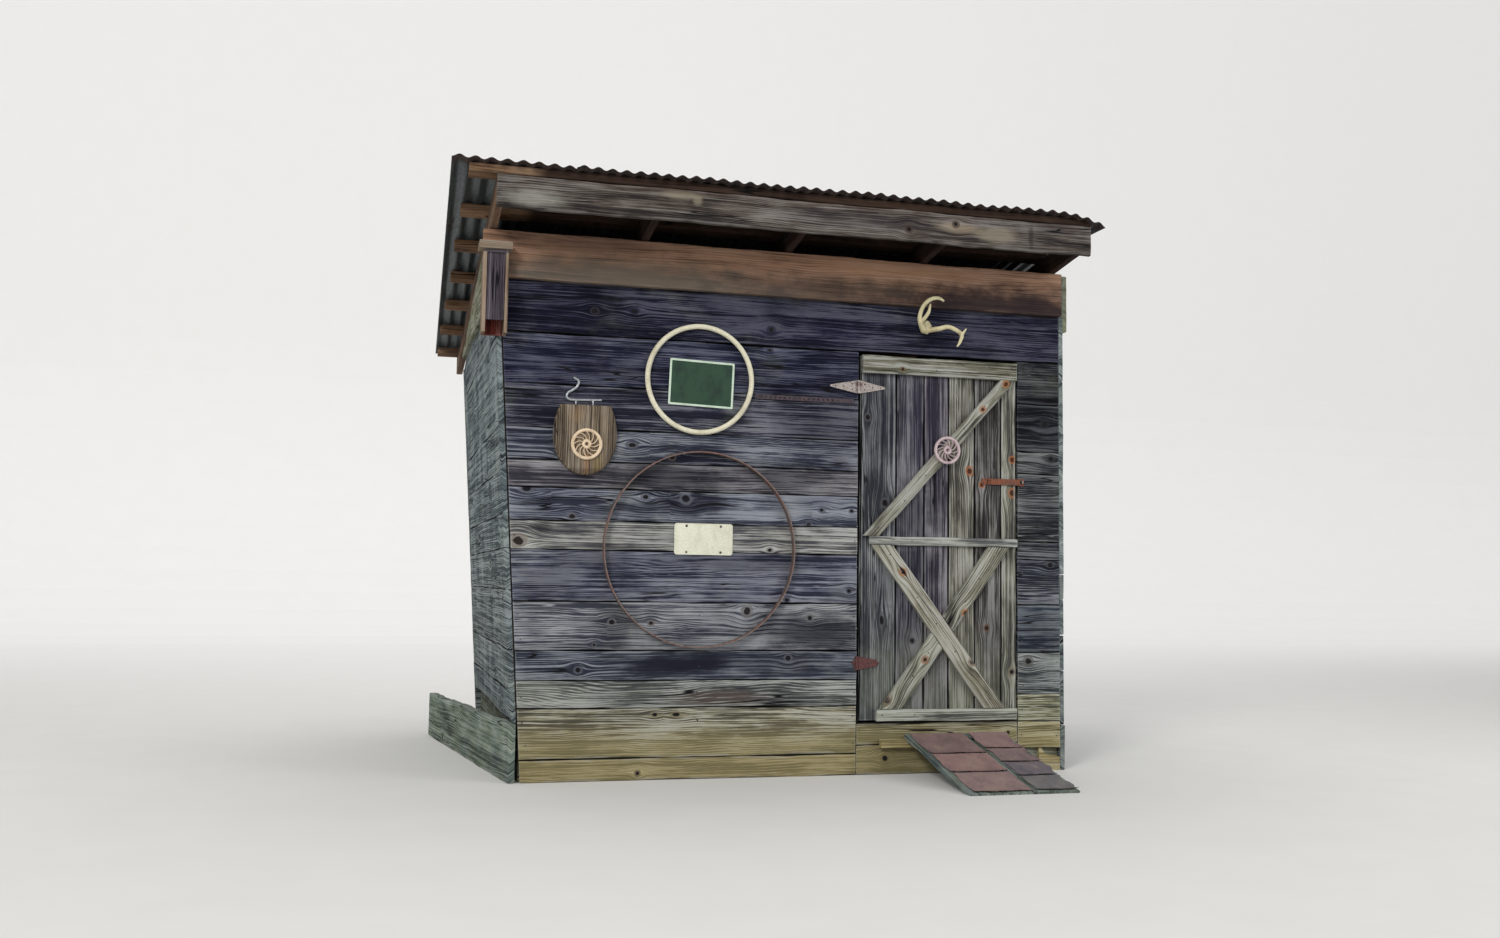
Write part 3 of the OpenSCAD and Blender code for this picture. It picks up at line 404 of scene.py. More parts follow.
def curve_points(points, steps):
    """Points along a smooth curve through the given ones."""
    p = [np.array(q, float) for q in points]
    p = [2 * p[0] - p[1], *p, 2 * p[-1] - p[-2]]
    out = []
    for a, b, c, d in zip(p, p[1:], p[2:], p[3:]):
        for k in range(steps):
            t = k / steps
            out.append(0.5 * (2 * b + (c - a) * t + (2 * a - 5 * b + 4 * c - d) * t * t
                              + (3 * b - a - 3 * c + d) * t ** 3))
    out.append(p[-2])
    return np.array(out)


def cut_mesh(mesh, planes):
    """Cuts away what lies past each plane, given as (point, normal), and closes the cut."""
    bm = bmesh.new()
    bm.from_mesh(mesh)
    uv_layers = list(bm.loops.layers.uv.values())
    face_layers = [*bm.faces.layers.float_color.values(), *bm.faces.layers.float.values()]
    for point, normal in planes:
        everything = bm.verts[:] + bm.edges[:] + bm.faces[:]
        res = bmesh.ops.bisect_plane(bm, geom=everything, plane_co=point, plane_no=normal, clear_outer=True)
        before = set(bm.faces)
        cut = [e for e in res["geom_cut"] if isinstance(e, bmesh.types.BMEdge)]
        bmesh.ops.holes_fill(bm, edges=cut, sides=0)
        for f in [f for f in bm.faces if f not in before]:
            beside = next((o for e in f.edges for o in e.link_faces if o in before), None)
            if beside is None:
                continue
            for layer in face_layers:
                f[layer] = beside[layer]
            for corner in f.loops:
                other = next((q for q in corner.vert.link_loops if q.face in before), None)
                for layer in uv_layers if other else ():
                    corner[layer].uv = other[layer].uv
    bm.to_mesh(mesh)
    bm.free()


class Piece:
    """Collects the shapes of one exported piece and makes one mesh of them."""

    BOARD_STEP = 0.05
    WORN_END = 0.002
    NO_KNOT = (0, 0, 0, 1)

    def __init__(self, name):
        self.name = name
        self.verts, self.faces = [], []
        self.data = {layer: [] for layer in ("grain", "rim", "tint", "knot", "seed", "knot_style")}

    def make(self, material, body, replaces=(), smooth=32, clip=()):
        mesh = bpy.data.meshes.new(self.name)
        mesh.from_pydata([tuple(v) for v in self.verts], [], self.faces)
        for layer, values in self.data.items():
            if not values:
                continue
            flat = np.array(values, np.float32).ravel()
            if layer in ("grain", "rim"):
                mesh.uv_layers.new(name=layer).data.foreach_set("uv", flat)
            elif layer in ("tint", "knot"):
                mesh.attributes.new(layer, "FLOAT_COLOR", "FACE").data.foreach_set("color", flat)
            else:
                mesh.attributes.new(layer, "FLOAT", "FACE").data.foreach_set("value", flat)
        if clip:
            cut_mesh(mesh, clip)
        mesh.update()
        o = link(self.name, mesh)
        mesh.materials.append(MATERIALS[material])
        mesh.polygons.foreach_set("use_smooth", [True] * len(mesh.polygons))
        mesh.set_sharp_from_angle(angle=math.radians(smooth))
        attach(o, body)
        if replaces:
            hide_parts(*replaces)

    def knots_on(self, corner, along, across, length, width, knots, wild):
        """Knots of a board as (s, t, radius, stretch, style): given ones that lie on it, then seeded ones."""
        found = []
        for place, *look in knots:
            away = place - corner
            s, t, r = away @ along, away @ across, look[0]
            if -r < s < length + r and -0.3 * r < t < width + 0.3 * r:
                found.append((s, t, *look))
        for _ in range(int(wild * length + rng.random())):
            s, t = rng.uniform(0.05, length), rng.uniform(0.15, 0.85) * width
            r = rng.uniform(0.16, 0.30) * min(width, 0.075)
            if all(abs(s - k[0]) > 0.16 for k in found):
                found.append((s, t, r, rng.uniform(1.0, 1.5), rng.uniform(0, 0.35)))
        return found

    def board(self, corner, along, across, out, length, width, thick, tint, stain=0.6, edge=0.0016,
              bow=0.0015, corner_r=0.003, knots=(), wild=0.6, skew=0.0, taper=0.0, stations=None, lower=None):
        """Adds a board. corner is on its outer face, along its length, across its width, out of its face."""
        corner, along, across, out = np.array(corner, float), unit(along), unit(across), unit(out)
        s = np.array(stations or np.linspace(0, length, max(3, int(length / self.BOARD_STEP) + 1)).tolist())
        n = len(s)
        low, high = Wave(edge)(s), Wave(edge)(s) + width - taper * s / length
        bend, twist = Wave(bow, (1.7, 0.6), (1, 0.5))(s), Wave(bow * 0.6, (1.3, 0.5), (1, 0.5))(s)
        if lower:
            low = low * 0.5 + np.array([lower(x) for x in s])
        r = min(corner_r, thick * 0.3)
        # Section as (share of the width, shift across, depth below the face)
        ring = [(0, 0, -thick), (0, 0, -2.2 * r), (0, 0.35 * r, -0.5 * r), (0, 1.4 * r, 0)]
        ring += [(k, 0, 0) for k in (0.25, 0.5, 0.75)]
        ring += [(1, -1.4 * r, 0), (1, -0.35 * r, -0.5 * r), (1, 0, -2.2 * r), (1, 0, -thick)]
        m = len(ring)
        verts, t, rim = np.zeros((n, m, 3)), np.zeros((n, m + 1)), np.zeros((n, m + 1))
        for j, (k, shift, deep) in enumerate(ring):
            w = low + (high - low) * k + shift
            cup = bend + twist * (2 * k - 1) if deep > -thick else np.zeros(n)
            a = s.copy()
            a[0] += rng.uniform(0, self.WORN_END) + skew * k
            a[-1] -= rng.uniform(0, self.WORN_END)
            verts[:, j] = corner + np.outer(a, along) + np.outer(w, across) + np.outer(deep + cup, out)
            t[:, j] = w + (deep if k == 0 else -deep)
            rim[:, j] = np.minimum(w - low, high - w) if deep > -2 * r else 0.0
        t[:, m] = t[:, m - 1] + width
        end = np.minimum(s, length - s)
        u0, v0 = rng.uniform(0, 40), rng.uniform(0, 40)
        found = self.knots_on(corner, along, across, length, width, knots, wild)
        start, before = len(self.verts), len(self.faces)
        turn = -1 if np.cross(along, across) @ out > 0 else 1
        self.verts += verts.reshape(-1, 3).tolist()
        for i in range(n - 1):
            for j in range(m):
                front = j < m - 1
                corners = ((i, j), (i + 1, j), (i + 1, j + 1), (i, j + 1))[::turn]
                self.faces.append([start + a * m + b % m for a, b in corners])
                self.data["grain"] += [(s[a] + u0, t[a, b] + v0) for a, b in corners]
                self.data["rim"] += [(rim[a, b] if front else 0.05, end[a]) for a, b in corners]
                near = (*self.NO_KNOT, 0.0)
                if found and front:
                    mid, here = (s[i] + s[i + 1]) / 2, (t[i, j] + t[i, j + 1]) / 2
                    ks, kt, *look = min(found, key=lambda q: abs(q[0] - mid) + 0.4 * abs(q[1] - here))
                    near = (ks + u0, kt + v0, *look)
                self.data["knot"].append(near[:4])
                self.data["knot_style"].append(near[4])
        for i, order in ((0, range(m)[::turn]), (n - 1, range(m)[::-turn])):
            self.faces.append([start + i * m + j for j in order])
            self.data["grain"] += [(u0 + t[i, j] * 0.3 + ring[j][2], v0 + t[i, j]) for j in order]
            self.data["rim"] += [(0.05, 0.05)] * m
            self.data["knot"].append(self.NO_KNOT)
            self.data["knot_style"].append(0.0)
        made = len(self.faces) - before
        self.data["tint"] += [(*tint[:3], stain)] * made
        self.data["seed"] += [rng.uniform(0, 90)] * made

    def front_board(self, x0, x1, y, z0, z1, *look, **more):
        """Adds a level board that faces the front, from x0 to x1 and from z0 to z1."""
        self.board((x0, y, z0), X, Z, FORWARD, x1 - x0, z1 - z0, *look, **more)

    def ring(self, points):
        """Adds a ring of points and gives their numbers."""
        self.verts += points
        return range(len(self.verts) - len(points), len(self.verts))

    def skin(self, rings, capped=True, flip=False):
        """Faces from each ring to the next, and over the first and the last."""
        for a, b in zip(rings, rings[1:]):
            for i in range(len(a)):
                quad = [a[i - 1], a[i], b[i], b[i - 1]]
                self.faces.append([quad[0], *quad[:0:-1]] if flip else quad)
        if capped:
            self.faces += [list(rings[0])[::-1], list(rings[-1])]

    def sheet(self, point, nx, ny, flip=False):
        """Adds a thin sheet between two grids of points, point(i, j, level), closed along its edges."""
        start, up = len(self.verts), nx * ny
        self.verts += [point(i, j, level) for level in (0, 1) for i in range(nx) for j in range(ny)]
        for level in (0, 1):
            for i in range(nx - 1):
                for j in range(ny - 1):
                    a = start + level * up + i * ny + j
                    quad = [a, a + ny, a + ny + 1, a + 1]
                    self.faces.append(quad[::-1] if level == flip else quad)
        rim = [(i, 0) for i in range(nx)] + [(nx - 1, j) for j in range(1, ny)]
        rim += [(i, ny - 1) for i in range(nx - 2, -1, -1)] + [(0, j) for j in range(ny - 2, 0, -1)]
        low = [start + i * ny + j for i, j in rim]
        self.skin([low, [q + up for q in low]], False, flip)

    def tube(self, points, radii, sides, steps):
        """Adds a tube with round ends along a smooth curve."""
        path = curve_points(points, steps)
        r = np.interp(np.linspace(0, 1, len(path)), np.linspace(0, 1, len(radii)), radii)
        tangent = np.gradient(path, axis=0)
        tangent /= np.linalg.norm(tangent, axis=1)[:, None]
        side = np.cross(tangent[0], Y)
        if np.linalg.norm(side) < 0.2:
            side = np.cross(tangent[0], Z)
        # The path's own sections, and two smaller ones past each end
        spine = [(i, 0, 1) for i in range(len(path))]
        spine = [(0, -0.9, 0.25), (0, -0.6, 0.72), *spine, (-1, 0.6, 0.72), (-1, 0.9, 0.25)]
        rings = []
        for i, past, share in spine:
            side = unit(side - tangent[i] * (side @ tangent[i]))
            other = np.cross(tangent[i], side)
            centre = path[i] + tangent[i] * r[i] * past
            rings.append(self.ring([centre + (side * math.cos(a) + other * math.sin(a)) * r[i] * share
                                    for a in turns(sides)]))
        self.skin(rings)

    def ball(self, centre, size, rows, cols, bumps):
        """Adds a lumpy ball, size being its half width, half depth and half height."""
        rings = []
        for i in range(1, rows):
            a = math.pi * i / rows
            points = []
            for b in turns(cols):
                k = 1 + bumps * (math.sin(3 * b + 2 * a) * 0.6 + math.sin(5 * a - b) * 0.4)
                d = np.array((math.sin(a) * math.cos(b), math.sin(a) * math.sin(b), math.cos(a))) * k
                points.append(centre + d * size)
            rings.append(self.ring(points))
        self.skin(rings, False, True)
        top, bottom = self.ring([centre + np.array((0, 0, size[2])), centre - np.array((0, 0, size[2]))])
        for i in range(cols):
            self.faces += [[top, rings[0][i - 1], rings[0][i]], [bottom, rings[-1][i], rings[-1][i - 1]]]

    def slab(self, centre, outline, y_back, t, bevel, hole=None, tilt=0.0, rows=3):
        """Adds a flat shape with its back at y_back, its front edge rounded, and a hole if one is given."""
        c, s = math.cos(tilt), math.sin(tilt)

        def ring(points, inset, y):
            scaled = [(x, z, 1 - inset / math.hypot(x, z)) for x, z in points]
            return self.ring([(centre[0] + (x * c + z * s) * k, y, centre[1] + (z * c - x * s) * k)
                              for x, z, k in scaled])

        def wall(points, sign):
            rings = [ring(points, 0, y_back)]
            for i in range(rows + 1):
                a = math.pi / 2 * i / rows
                inset, rise = sign * bevel * (1 - math.cos(a)), bevel * (1 - math.sin(a))
                rings.append(ring(points, inset, y_back - t + rise))
            self.skin(rings, hole is None, sign < 0)
            return rings[0], rings[-1]

        back, face = wall(outline, 1)
        if hole:
            hole_back, hole_face = wall(hole, -1)
            self.skin([face, hole_face], False)
            self.skin([hole_back, back], False)

    def head(self, place, r, out=FORWARD, rise=0.4):
        """Adds a domed nail or screw head on a face, out of it along out."""
        out = unit(out)
        a = unit(np.cross(out, (0.3, 0.2, 0.9)))
        b = np.cross(out, a)
        size = r * rng.uniform(0.85, 1.15)
        rings = []
        for share, lift in ((1.0, -0.3), (1.0, 0.25 * rise), (0.6, rise)):
            centre = np.array(place) + out * size * lift
            rings.append(self.ring([centre + (a * math.cos(w) + b * math.sin(w)) * size * share
                                    for w in turns(8)]))
        self.skin(rings)


def round_outline(w, h, r, n=6):
    """A rectangle with round corners as (x, z) points, the right way round from the front."""
    out = []
    for cx, cz, a0 in ((1, 1, 0), (-1, 1, 90), (-1, -1, 180), (1, -1, 270)):
        for i in range(n + 1):
            a = math.radians(a0 + 90 * i / n)
            out.append((cx * (w / 2 - r) + r * math.cos(a), cz * (h / 2 - r) + r * math.sin(a)))
    return out


# Camera, at the photograph's place
CAMERA_AT = (-2.156, -7.964, 0.983)
CAMERA_LENS = 32.79
yaw, pitch, roll = math.radians(15.34), math.radians(4.74), math.radians(0.81)
ahead = Vector((math.sin(yaw) * math.cos(pitch), math.cos(yaw) * math.cos(pitch), math.sin(pitch)))
level = Vector((math.cos(yaw), -math.sin(yaw), 0))
above = level.cross(ahead)
rightward = level * math.cos(roll) + above * math.sin(roll)
turned = Matrix((rightward, above * math.cos(roll) - level * math.sin(roll), -ahead)).transposed()
cam_data = bpy.data.cameras.new("camera")
cam_data.lens = CAMERA_LENS
cam_data.sensor_width = 36
cam_data.clip_end = 200
cam = link("camera", cam_data)
cam.matrix_world = Matrix.Translation(CAMERA_AT) @ turned.to_4x4()
bpy.context.scene.camera = cam

# Knots, each as (x, z, radius, stretch along the grain, style), where style 1 has a coloured rim
FRONT_KNOTS = [
    (-1.125, 2.33, 0.019, 1.2, 0.1), (-0.922, 2.344, 0.017, 1.2, 0), (-0.203, 2.292, 0.019, 1.2, 0),
    (-0.207, 2.187, 0.015, 1.2, 0), (-0.922, 1.662, 0.02, 1.5, 0), (-0.716, 1.609, 0.017, 1.2, 0.5),
    (-1.44, 1.428, 0.022, 1.6, 0), (-1.215, 1.297, 0.017, 1.3, 0.2), (-0.846, 1.403, 0.018, 1.3, 0),
    (-0.64, 1.399, 0.026, 1.2, 0), (-1.475, 1.17, 0.034, 1.1, 0.4), (-0.193, 1.15, 0.014, 1.2, 0),
    (-0.311, 0.837, 0.029, 1, 0.2), (-0.099, 0.895, 0.013, 1.3, 0), (-1.167, 0.542, 0.017, 1.1, 0),
    (-0.09, 0.599, 0.017, 1.2, 0), (-0.778, 0.321, 0.013, 1.5, 0), (-0.671, 0.32, 0.014, 2, 0),
    (0.085, 1.363, 0.016, 1.3, 0), (0.25, 1.363, 0.013, 1.2, 0), (0.015, 1.286, 0.015, 1.2, 0),
    (0.24, 0.945, 0.014, 1.2, 0), (0.026, 0.804, 0.017, 1.2, 0), (-1.004, 0.777, 0.017, 1.2, 0),
    (-0.807, 0.773, 0.015, 1.2, 0.3), (-1.09, 0.665, 0.01, 1, 0), (1.363, 1.87, 0.022, 1.2, 0),
    (1.4, 1.679, 0.017, 1.3, 0), (1.395, 1.1, 0.017, 1.3, 0), (1.26, 0.582, 0.024, 1.2, 0.1)]
DOOR_KNOTS = [
    (0.336, 1.861, 0.017, 1.2, 0), (0.434, 1.409, 0.022, 1.2, 0), (0.92, 1.596, 0.022, 1.1, 0.9),
    (0.99, 1.523, 0.015, 1.1, 1), (1.168, 1.665, 0.017, 1.1, 1), (1.168, 1.485, 0.022, 1.2, 0.7),
    (0.421, 0.796, 0.016, 2.4, 0), (0.59, 0.69, 0.018, 1, 0), (1.017, 0.757, 0.015, 1.2, 0.2),
    (1.165, 0.524, 0.019, 1.1, 0.1)]
BRACE_KNOTS = [
    (0.985, 1.929, 0.017, 1.1, 1), (1.12, 2.074, 0.018, 1.1, 1), (0.528, 1.048, 0.019, 1.1, 1),
    (0.922, 0.579, 0.019, 1.2, 0.2), (0.881, 0.837, 0.018, 1.1, 1), (0.654, 0.592, 0.018, 1.2, 0.7),
    (0.443, 0.384, 0.024, 1.1, 0.2)]


def on_face(knots, y):
    """Knots of a face at the depth y, as a board takes them."""
    return [(np.array((x, y, z)), *look) for x, z, *look in knots]


# Darker and paler patches that the photograph shows, as (x, z, half width, half height, strength), and a
# colour if not navy; some are stains, some painted shade
# The dark front patches near the top, by the lid and behind the holed strap are painted shade as well as
# stain
FRONT_SPOTS = [
    (-1.181, 2.154, 0.11, 0.06, 0.75), (-0.08, 1.53, 0.3, 0.1, 0.8), (-0.6, 1.38, 0.24, 0.075, 0.85),
    (-1.366, 1.239, 0.06, 0.034, 0.9, 34, 30, 36), (-0.3, 1.08, 0.62, 0.07, 0.6),
    (-1.15, 1.09, 0.28, 0.06, 0.6), (0.1, 0.7, 0.26, 0.13, 0.75), (-0.98, 0.76, 0.13, 0.12, 0.7),
    (-0.3, 0.57, 0.55, 0.06, 0.75), (1.35, 0.75, 0.16, 0.2, 0.5), (1.33, 1.45, 0.14, 0.24, 0.45),
    (0.16, 1.85, 0.18, 0.3, 0.5), (-0.45, 0.4, 0.3, 0.05, 0.3, 120, 92, 74), (-0.7, 0.565, 0.34, 0.055, 0.8),
    (0.02, 0.75, 0.34, 0.11, 0.8), (-1.32, 0.98, 0.24, 0.1, 0.6), (-0.72, 1.505, 0.42, 0.1, 1),
    (-0.72, 1.35, 0.3, 0.065, 0.6), (-0.6, 1.2, 0.28, 0.04, 0.5), (-0.05, 1.94, 0.24, 0.035, 0.7, 16, 15, 22),
    (-0.8, 2.03, 0.55, 0.07, 0.45)]
# The dark door patches near the top and along the braces are painted shadow as well as stain
DOOR_SPOTS = [
    (0.7, 0.45, 0.55, 0.34, 0.5, 122, 126, 110), (0.66, 1.8, 0.13, 0.3, 0.6, 44, 40, 60),
    (0.6, 1.36, 0.15, 0.18, 0.8), (0.62, 1.06, 0.13, 0.15, 0.8), (0.44, 0.98, 0.07, 0.16, 0.6),
    (0.52, 0.76, 0.08, 0.22, 0.3), (1.04, 0.72, 0.07, 0.2, 0.5), (0.93, 1.86, 0.1, 0.16, 0.55),
    (0.86, 0.56, 0.07, 0.16, 0.4), (0.4, 1.9, 0.13, 0.28, 0.65), (0.72, 1.45, 0.08, 0.24, 0.6),
    (0.73, 0.62, 0.07, 0.15, 0.5), (1.03, 1.85, 0.07, 0.26, 0.7, 30, 29, 30), (0.72, 0.85, 0.08, 0.16, 0.6)]
HEADER_SPOTS = [
    (-0.9, 2.47, 1, 0.15, 0.95, 76, 82, 78), (0.1, 2.47, 0.75, 0.14, 0.9, 58, 52, 50),
    (1.05, 2.47, 0.9, 0.16, 1, 28, 25, 34), (1.1, 2.46, 0.6, 0.15, 0.8, 28, 25, 34),
    (0.4, 2.55, 0.25, 0.06, 0.4, 82, 74, 62), (-1.15, 2.66, 0.45, 0.07, 0.6, 84, 64, 58),
    (0.35, 2.65, 0.6, 0.05, 0.6, 176, 134, 104)]
FASCIA_SPOTS = [
    (-1.5, 2.765, 0.16, 0.045, 0.8, 150, 150, 142), (-0.77, 2.842, 0.13, 0.025, 0.75, 148, 140, 122),
    (-0.7, 2.82, 0.03, 0.03, 0.7, 148, 140, 122), (0.66, 2.8, 0.12, 0.03, 0.6, 165, 150, 130),
    (0.88, 2.78, 0.13, 0.045, 0.7, 150, 142, 124), (1.07, 2.79, 0.02, 0.07, 0.8, 30, 24, 24),
    (-0.3, 2.872, 1.8, 0.028, 0.65, 70, 50, 42), (1.25, 2.85, 0.16, 0.05, 0.7, 42, 30, 30),
    (0.1, 2.79, 0.5, 0.05, 0.5, 46, 42, 50)]
LID_SPOTS = [
    (-1.155, 1.55, 0.02, 0.09, 0.6, 140, 92, 50), (-1.1, 1.56, 0.03, 0.08, 0.35, 150, 130, 80),
    (-1.28, 1.68, 0.02, 0.16, 0.6, 50, 42, 34), (-1.2, 1.8, 0.05, 0.05, 0.4, 150, 122, 92),
    (-1.15, 1.515, 0.16, 0.028, 0.65, 52, 42, 32), (-1.03, 1.66, 0.022, 0.14, 0.5, 60, 50, 40)]

# Woods, metals and paints
wood("front_siding_wood", contrast=2.0, bloomed=0.8, stain=0.8, knot_rim=(120, 104, 92), joint=1.0,
     spots=FRONT_SPOTS, low_color=(144, 134, 98), smooth=0.8)
wood("side_siding_wood", contrast=1.4, stain=0.55, moss=0.25, moss_color=(112, 126, 112), low_moss=0.35,
     knot_rim=(84, 80, 70), joint=1.0, smooth=0.3, blotch=(5, 2.5, 1.6), bloomed=0.5)
wood("header_wood", contrast=0.55, stain=0.35, knot_rim=(70, 46, 36), spots=HEADER_SPOTS, wear=0.1,
     smooth=1.2, cracks=0.25, pale=-0.30)
wood("fascia_wood", contrast=1.1, stain=0.4, knot_rim=(60, 44, 38), spots=FASCIA_SPOTS, pale=-0.15)
wood("box_wood", contrast=0.7, stain=0.3, knot_rim=(90, 62, 44), wear=0.3, smooth=0.2, grain=1.5, pale=-0.2)
wood("mossy_wood", stain=0.4, moss=0.35, moss_color=(122, 130, 92), low_moss=0.35)
wood("door_plank_wood", contrast=1.6, knot_rim=(150, 92, 56), joint=1.0, wear=0.55, spots=DOOR_SPOTS,
     smooth=0.4)
wood("brace_wood", contrast=1.3, stain=0.25, knot_rim=(150, 100, 62), pale=0.05, wear=0.6, smooth=0.5)
wood("roof_timber_wood", contrast=0.8, stain=0.4, knot_rim=(90, 62, 44), wear=0.3, pale=-0.2,
     painted_shade_within=1.52)
wood("lid_wood", (116, 102, 84), "Z", contrast=0.9, stain=0.25, spots=LID_SPOTS, smooth=0.4)
for letter, color in (("X", (88, 90, 78)), ("Y", (104, 94, 78)), ("Z", (112, 98, 78))):
    wood("inner_wood_" + letter, color, letter, contrast=0.8, stain=0.4)
wood("skid_wood", (104, 104, 84), "X", contrast=0.8, stain=0.4, moss=0.5)
wood("joist_wood", (98, 104, 88), "Y", contrast=0.8, stain=0.4, moss=0.5)
wood("cleat_wood", (150, 136, 92), "X", contrast=0.7, stain=0.3)
grit("ramp_felt")
zinc("roof_zinc")
metal("rusty_iron", (150, 130, 122), (134, 102, 92), 0.6, dark=(80, 60, 60))
metal("dark_strap_iron", (86, 76, 84), (92, 74, 76), 0.5, dark=(52, 42, 50))
metal("orange_rust", (112, 70, 54), (140, 84, 60), 0.8, dark=(74, 44, 36), metallic=0.2)
metal("grey_steel", (202, 208, 214), (128, 108, 96), 0.15)
metal("hinge_steel", (196, 184, 178), (104, 66, 64), 0.15, dark=(58, 36, 38), rusty_at=(OPEN_L, 1.0))
metal("nail_iron", (96, 92, 92), (70, 50, 44), 0.5, scale=60)
paint("cream_rim_paint", (226, 221, 197), (150, 138, 108), 0.5, 7)
paint("plate_paint", (226, 226, 207), (160, 158, 138), 0.35, 11, rough=0.4)
paint("sign_paint", (42, 70, 52), (34, 44, 44), 0.7, 14)
paint("sign_border_paint", (205, 222, 205), (150, 170, 140), 0.5, 20)
paint("rosette_paint", (230, 208, 178), (158, 124, 98), 0.55, 24, chips=(120, 84, 62))
paint("door_rosette_paint", (200, 180, 184), (112, 84, 92), 0.6, 24, chips=(110, 74, 76))
paint("antler_bone", (216, 206, 168), (126, 112, 74), 0.65, 16)

# Front boards, as rows of (foot, top, colour, stain) over the skids
# The dark colours and strong stain of the upper rows, here and over the door, are painted shade from the eave
# as well as the boards' own weathering
LEFT_ROWS = [
    (-0.12, -0.01, (120, 108, 76), 0.35), (-0.01, 0.235, (140, 135, 110), 0.15),
    (0.235, 0.370, (128, 129, 121), 0.3), (0.370, 0.517, (102, 109, 121), 0.6),
    (0.517, 0.758, (120, 124, 131), 0.4), (0.758, 1.012, (88, 92, 110), 0.65),
    (1.012, 1.155, (146, 146, 142), 0.2), (1.155, 1.317, (102, 109, 124), 0.7),
    (1.317, 1.452, (104, 102, 108), 0.6), (1.452, 1.613, (82, 86, 100), 0.65),
    (1.613, 1.830, (60, 62, 79), 0.85), (1.830, 2.084, (44, 48, 73), 1.05)]
RIGHT_ROWS = [
    (0.0, 0.142, (152, 144, 102), 0.1), (0.142, 0.286, (148, 146, 112), 0.2),
    (0.286, 0.510, (106, 114, 112), 0.5), (0.510, 0.763, (78, 88, 99), 0.7),
    (0.763, 1.006, (76, 80, 90), 0.7), (1.006, 1.103, (50, 55, 61), 0.8),
    (1.103, 1.470, (78, 82, 82), 0.7), (1.470, 1.594, (66, 69, 70), 0.75),
    (1.594, 1.853, (46, 50, 55), 0.95), (1.853, 2.084, (38, 40, 46), 1.1)]
OVER_FOOT, OVER_SEAM, OVER_TOP = 2.084, 2.347, 2.575
ROW_GAP = 0.0016
ROW_L = LEFT + BOARD + 0.006
GROUND_CUT = ((0, 0, 0), DOWN)
ROOF_CUT = ((0, FRONT, HEAD - 0.0008), (0, SLOPE, 1))


def wall_row(x0, x1, z0, z1, tint, deep, stain, leans=True, wild=0.2):
    """A front board from x0, or from the leaning left wall, to x1."""
    za, zb = z0 + BASE + ROW_GAP / 2, z1 + BASE - ROW_GAP / 2
    skew = 0.0
    if leans:
        x0 -= lean_at(za)
        skew = lean_at(za) - lean_at(zb)
    front.front_board(x0, x1, FRONT + deep, za, zb, BOARD - 0.001 - deep, tint, stain, corner_r=0.0025,
                      knots=on_face(FRONT_KNOTS, FRONT), wild=wild, skew=skew)


front = Piece("front_boards")
for x0, x1, rows in ((ROW_L, OPEN_L, LEFT_ROWS), (OPEN_R, RIGHT_IN, RIGHT_ROWS)):
    for z0, z1, color, stain in rows:
        wall_row(x0, x1, z0, z1, vary(color, 0.04), rng.uniform(0.0005, 0.0035), stain, rows is LEFT_ROWS)
# Over the door the boards run the whole width, the lower one notched a little by the opening
over_foot = max(OVER_FOOT, OPEN_TOP - BASE)
# These very dark colours are painted shade from the eave, with stain
wall_row(ROW_L, RIGHT_IN, over_foot, OVER_SEAM, vary((37, 37, 60)), 0.002, 1.15, wild=0.0)
wall_row(ROW_L, RIGHT_IN, OVER_SEAM, OVER_TOP, vary((35, 33, 46)), 0.002, 1.15)
front.make("front_siding_wood", "building", ("front_wall_left", "front_wall_right", "front_wall_over_door"),
           clip=[GROUND_CUT])

sill = Piece("sill_boards")
for deep, foot, top, color, stain in ((0.0, 0.002, 0.152, (140, 130, 92), 0.2),
                                      (0.003, 0.154, FLOOR - 0.001, (150, 142, 106), 0.1)):
    sill.front_board(OPEN_L + 0.002, OPEN_R - 0.002, FRONT + deep, foot, top, 0.024 - deep, vary(color),
                     stain)
sill.make("front_siding_wood", "building", ("door_sill",))

# Side and back walls
WALL_LEN = BACK_IN - FRONT - 0.004
LEAN_UP, LEAN_OUT = (-LEAN, 0, 1), (-1, 0, -LEAN)
SIDE_SEAMS = [0.172, 0.317, 0.52, 0.813, 1.013, 1.183, 1.397, 1.619, 2.056, 2.32, 2.60]
left_wall = Piece("left_wall_boards")
for z0, z1 in zip(SIDE_SEAMS, SIDE_SEAMS[1:]):
    za, zb = z0 + BASE + 0.0005, z1 + BASE - 0.0005
    left_wall.board((LEFT - lean_at(za), FRONT + rng.uniform(0, 0.003), za), Y, LEAN_UP, LEAN_OUT, WALL_LEN,
                    (zb - za) * math.hypot(1, LEAN), BOARD - 0.001, vary((108, 120, 122), 0.09), 0.5,
                    bow=0.003)
left_wall.make("side_siding_wood", "building", ("left_wall",), clip=[ROOF_CUT])


def plain_rows(top):
    """Heights of the boards of a wall that the photograph doesn't show."""
    z = 0.0
    while z < top:
        h = rng.choice([0.14, 0.19, 0.24, 0.29])
        yield z + 0.0004, h - 0.0008
        z += h


right_wall = Piece("right_wall_boards")
for z, h in plain_rows(HEAD):
    right_wall.board((RIGHT, FRONT + rng.uniform(0, 0.003), z), Y, Z, X, WALL_LEN, h, BOARD - 0.001,
                     vary((104, 114, 114), 0.09), bow=0.002)
right_wall.make("side_siding_wood", "building", ("right_wall",), clip=[ROOF_CUT, GROUND_CUT])

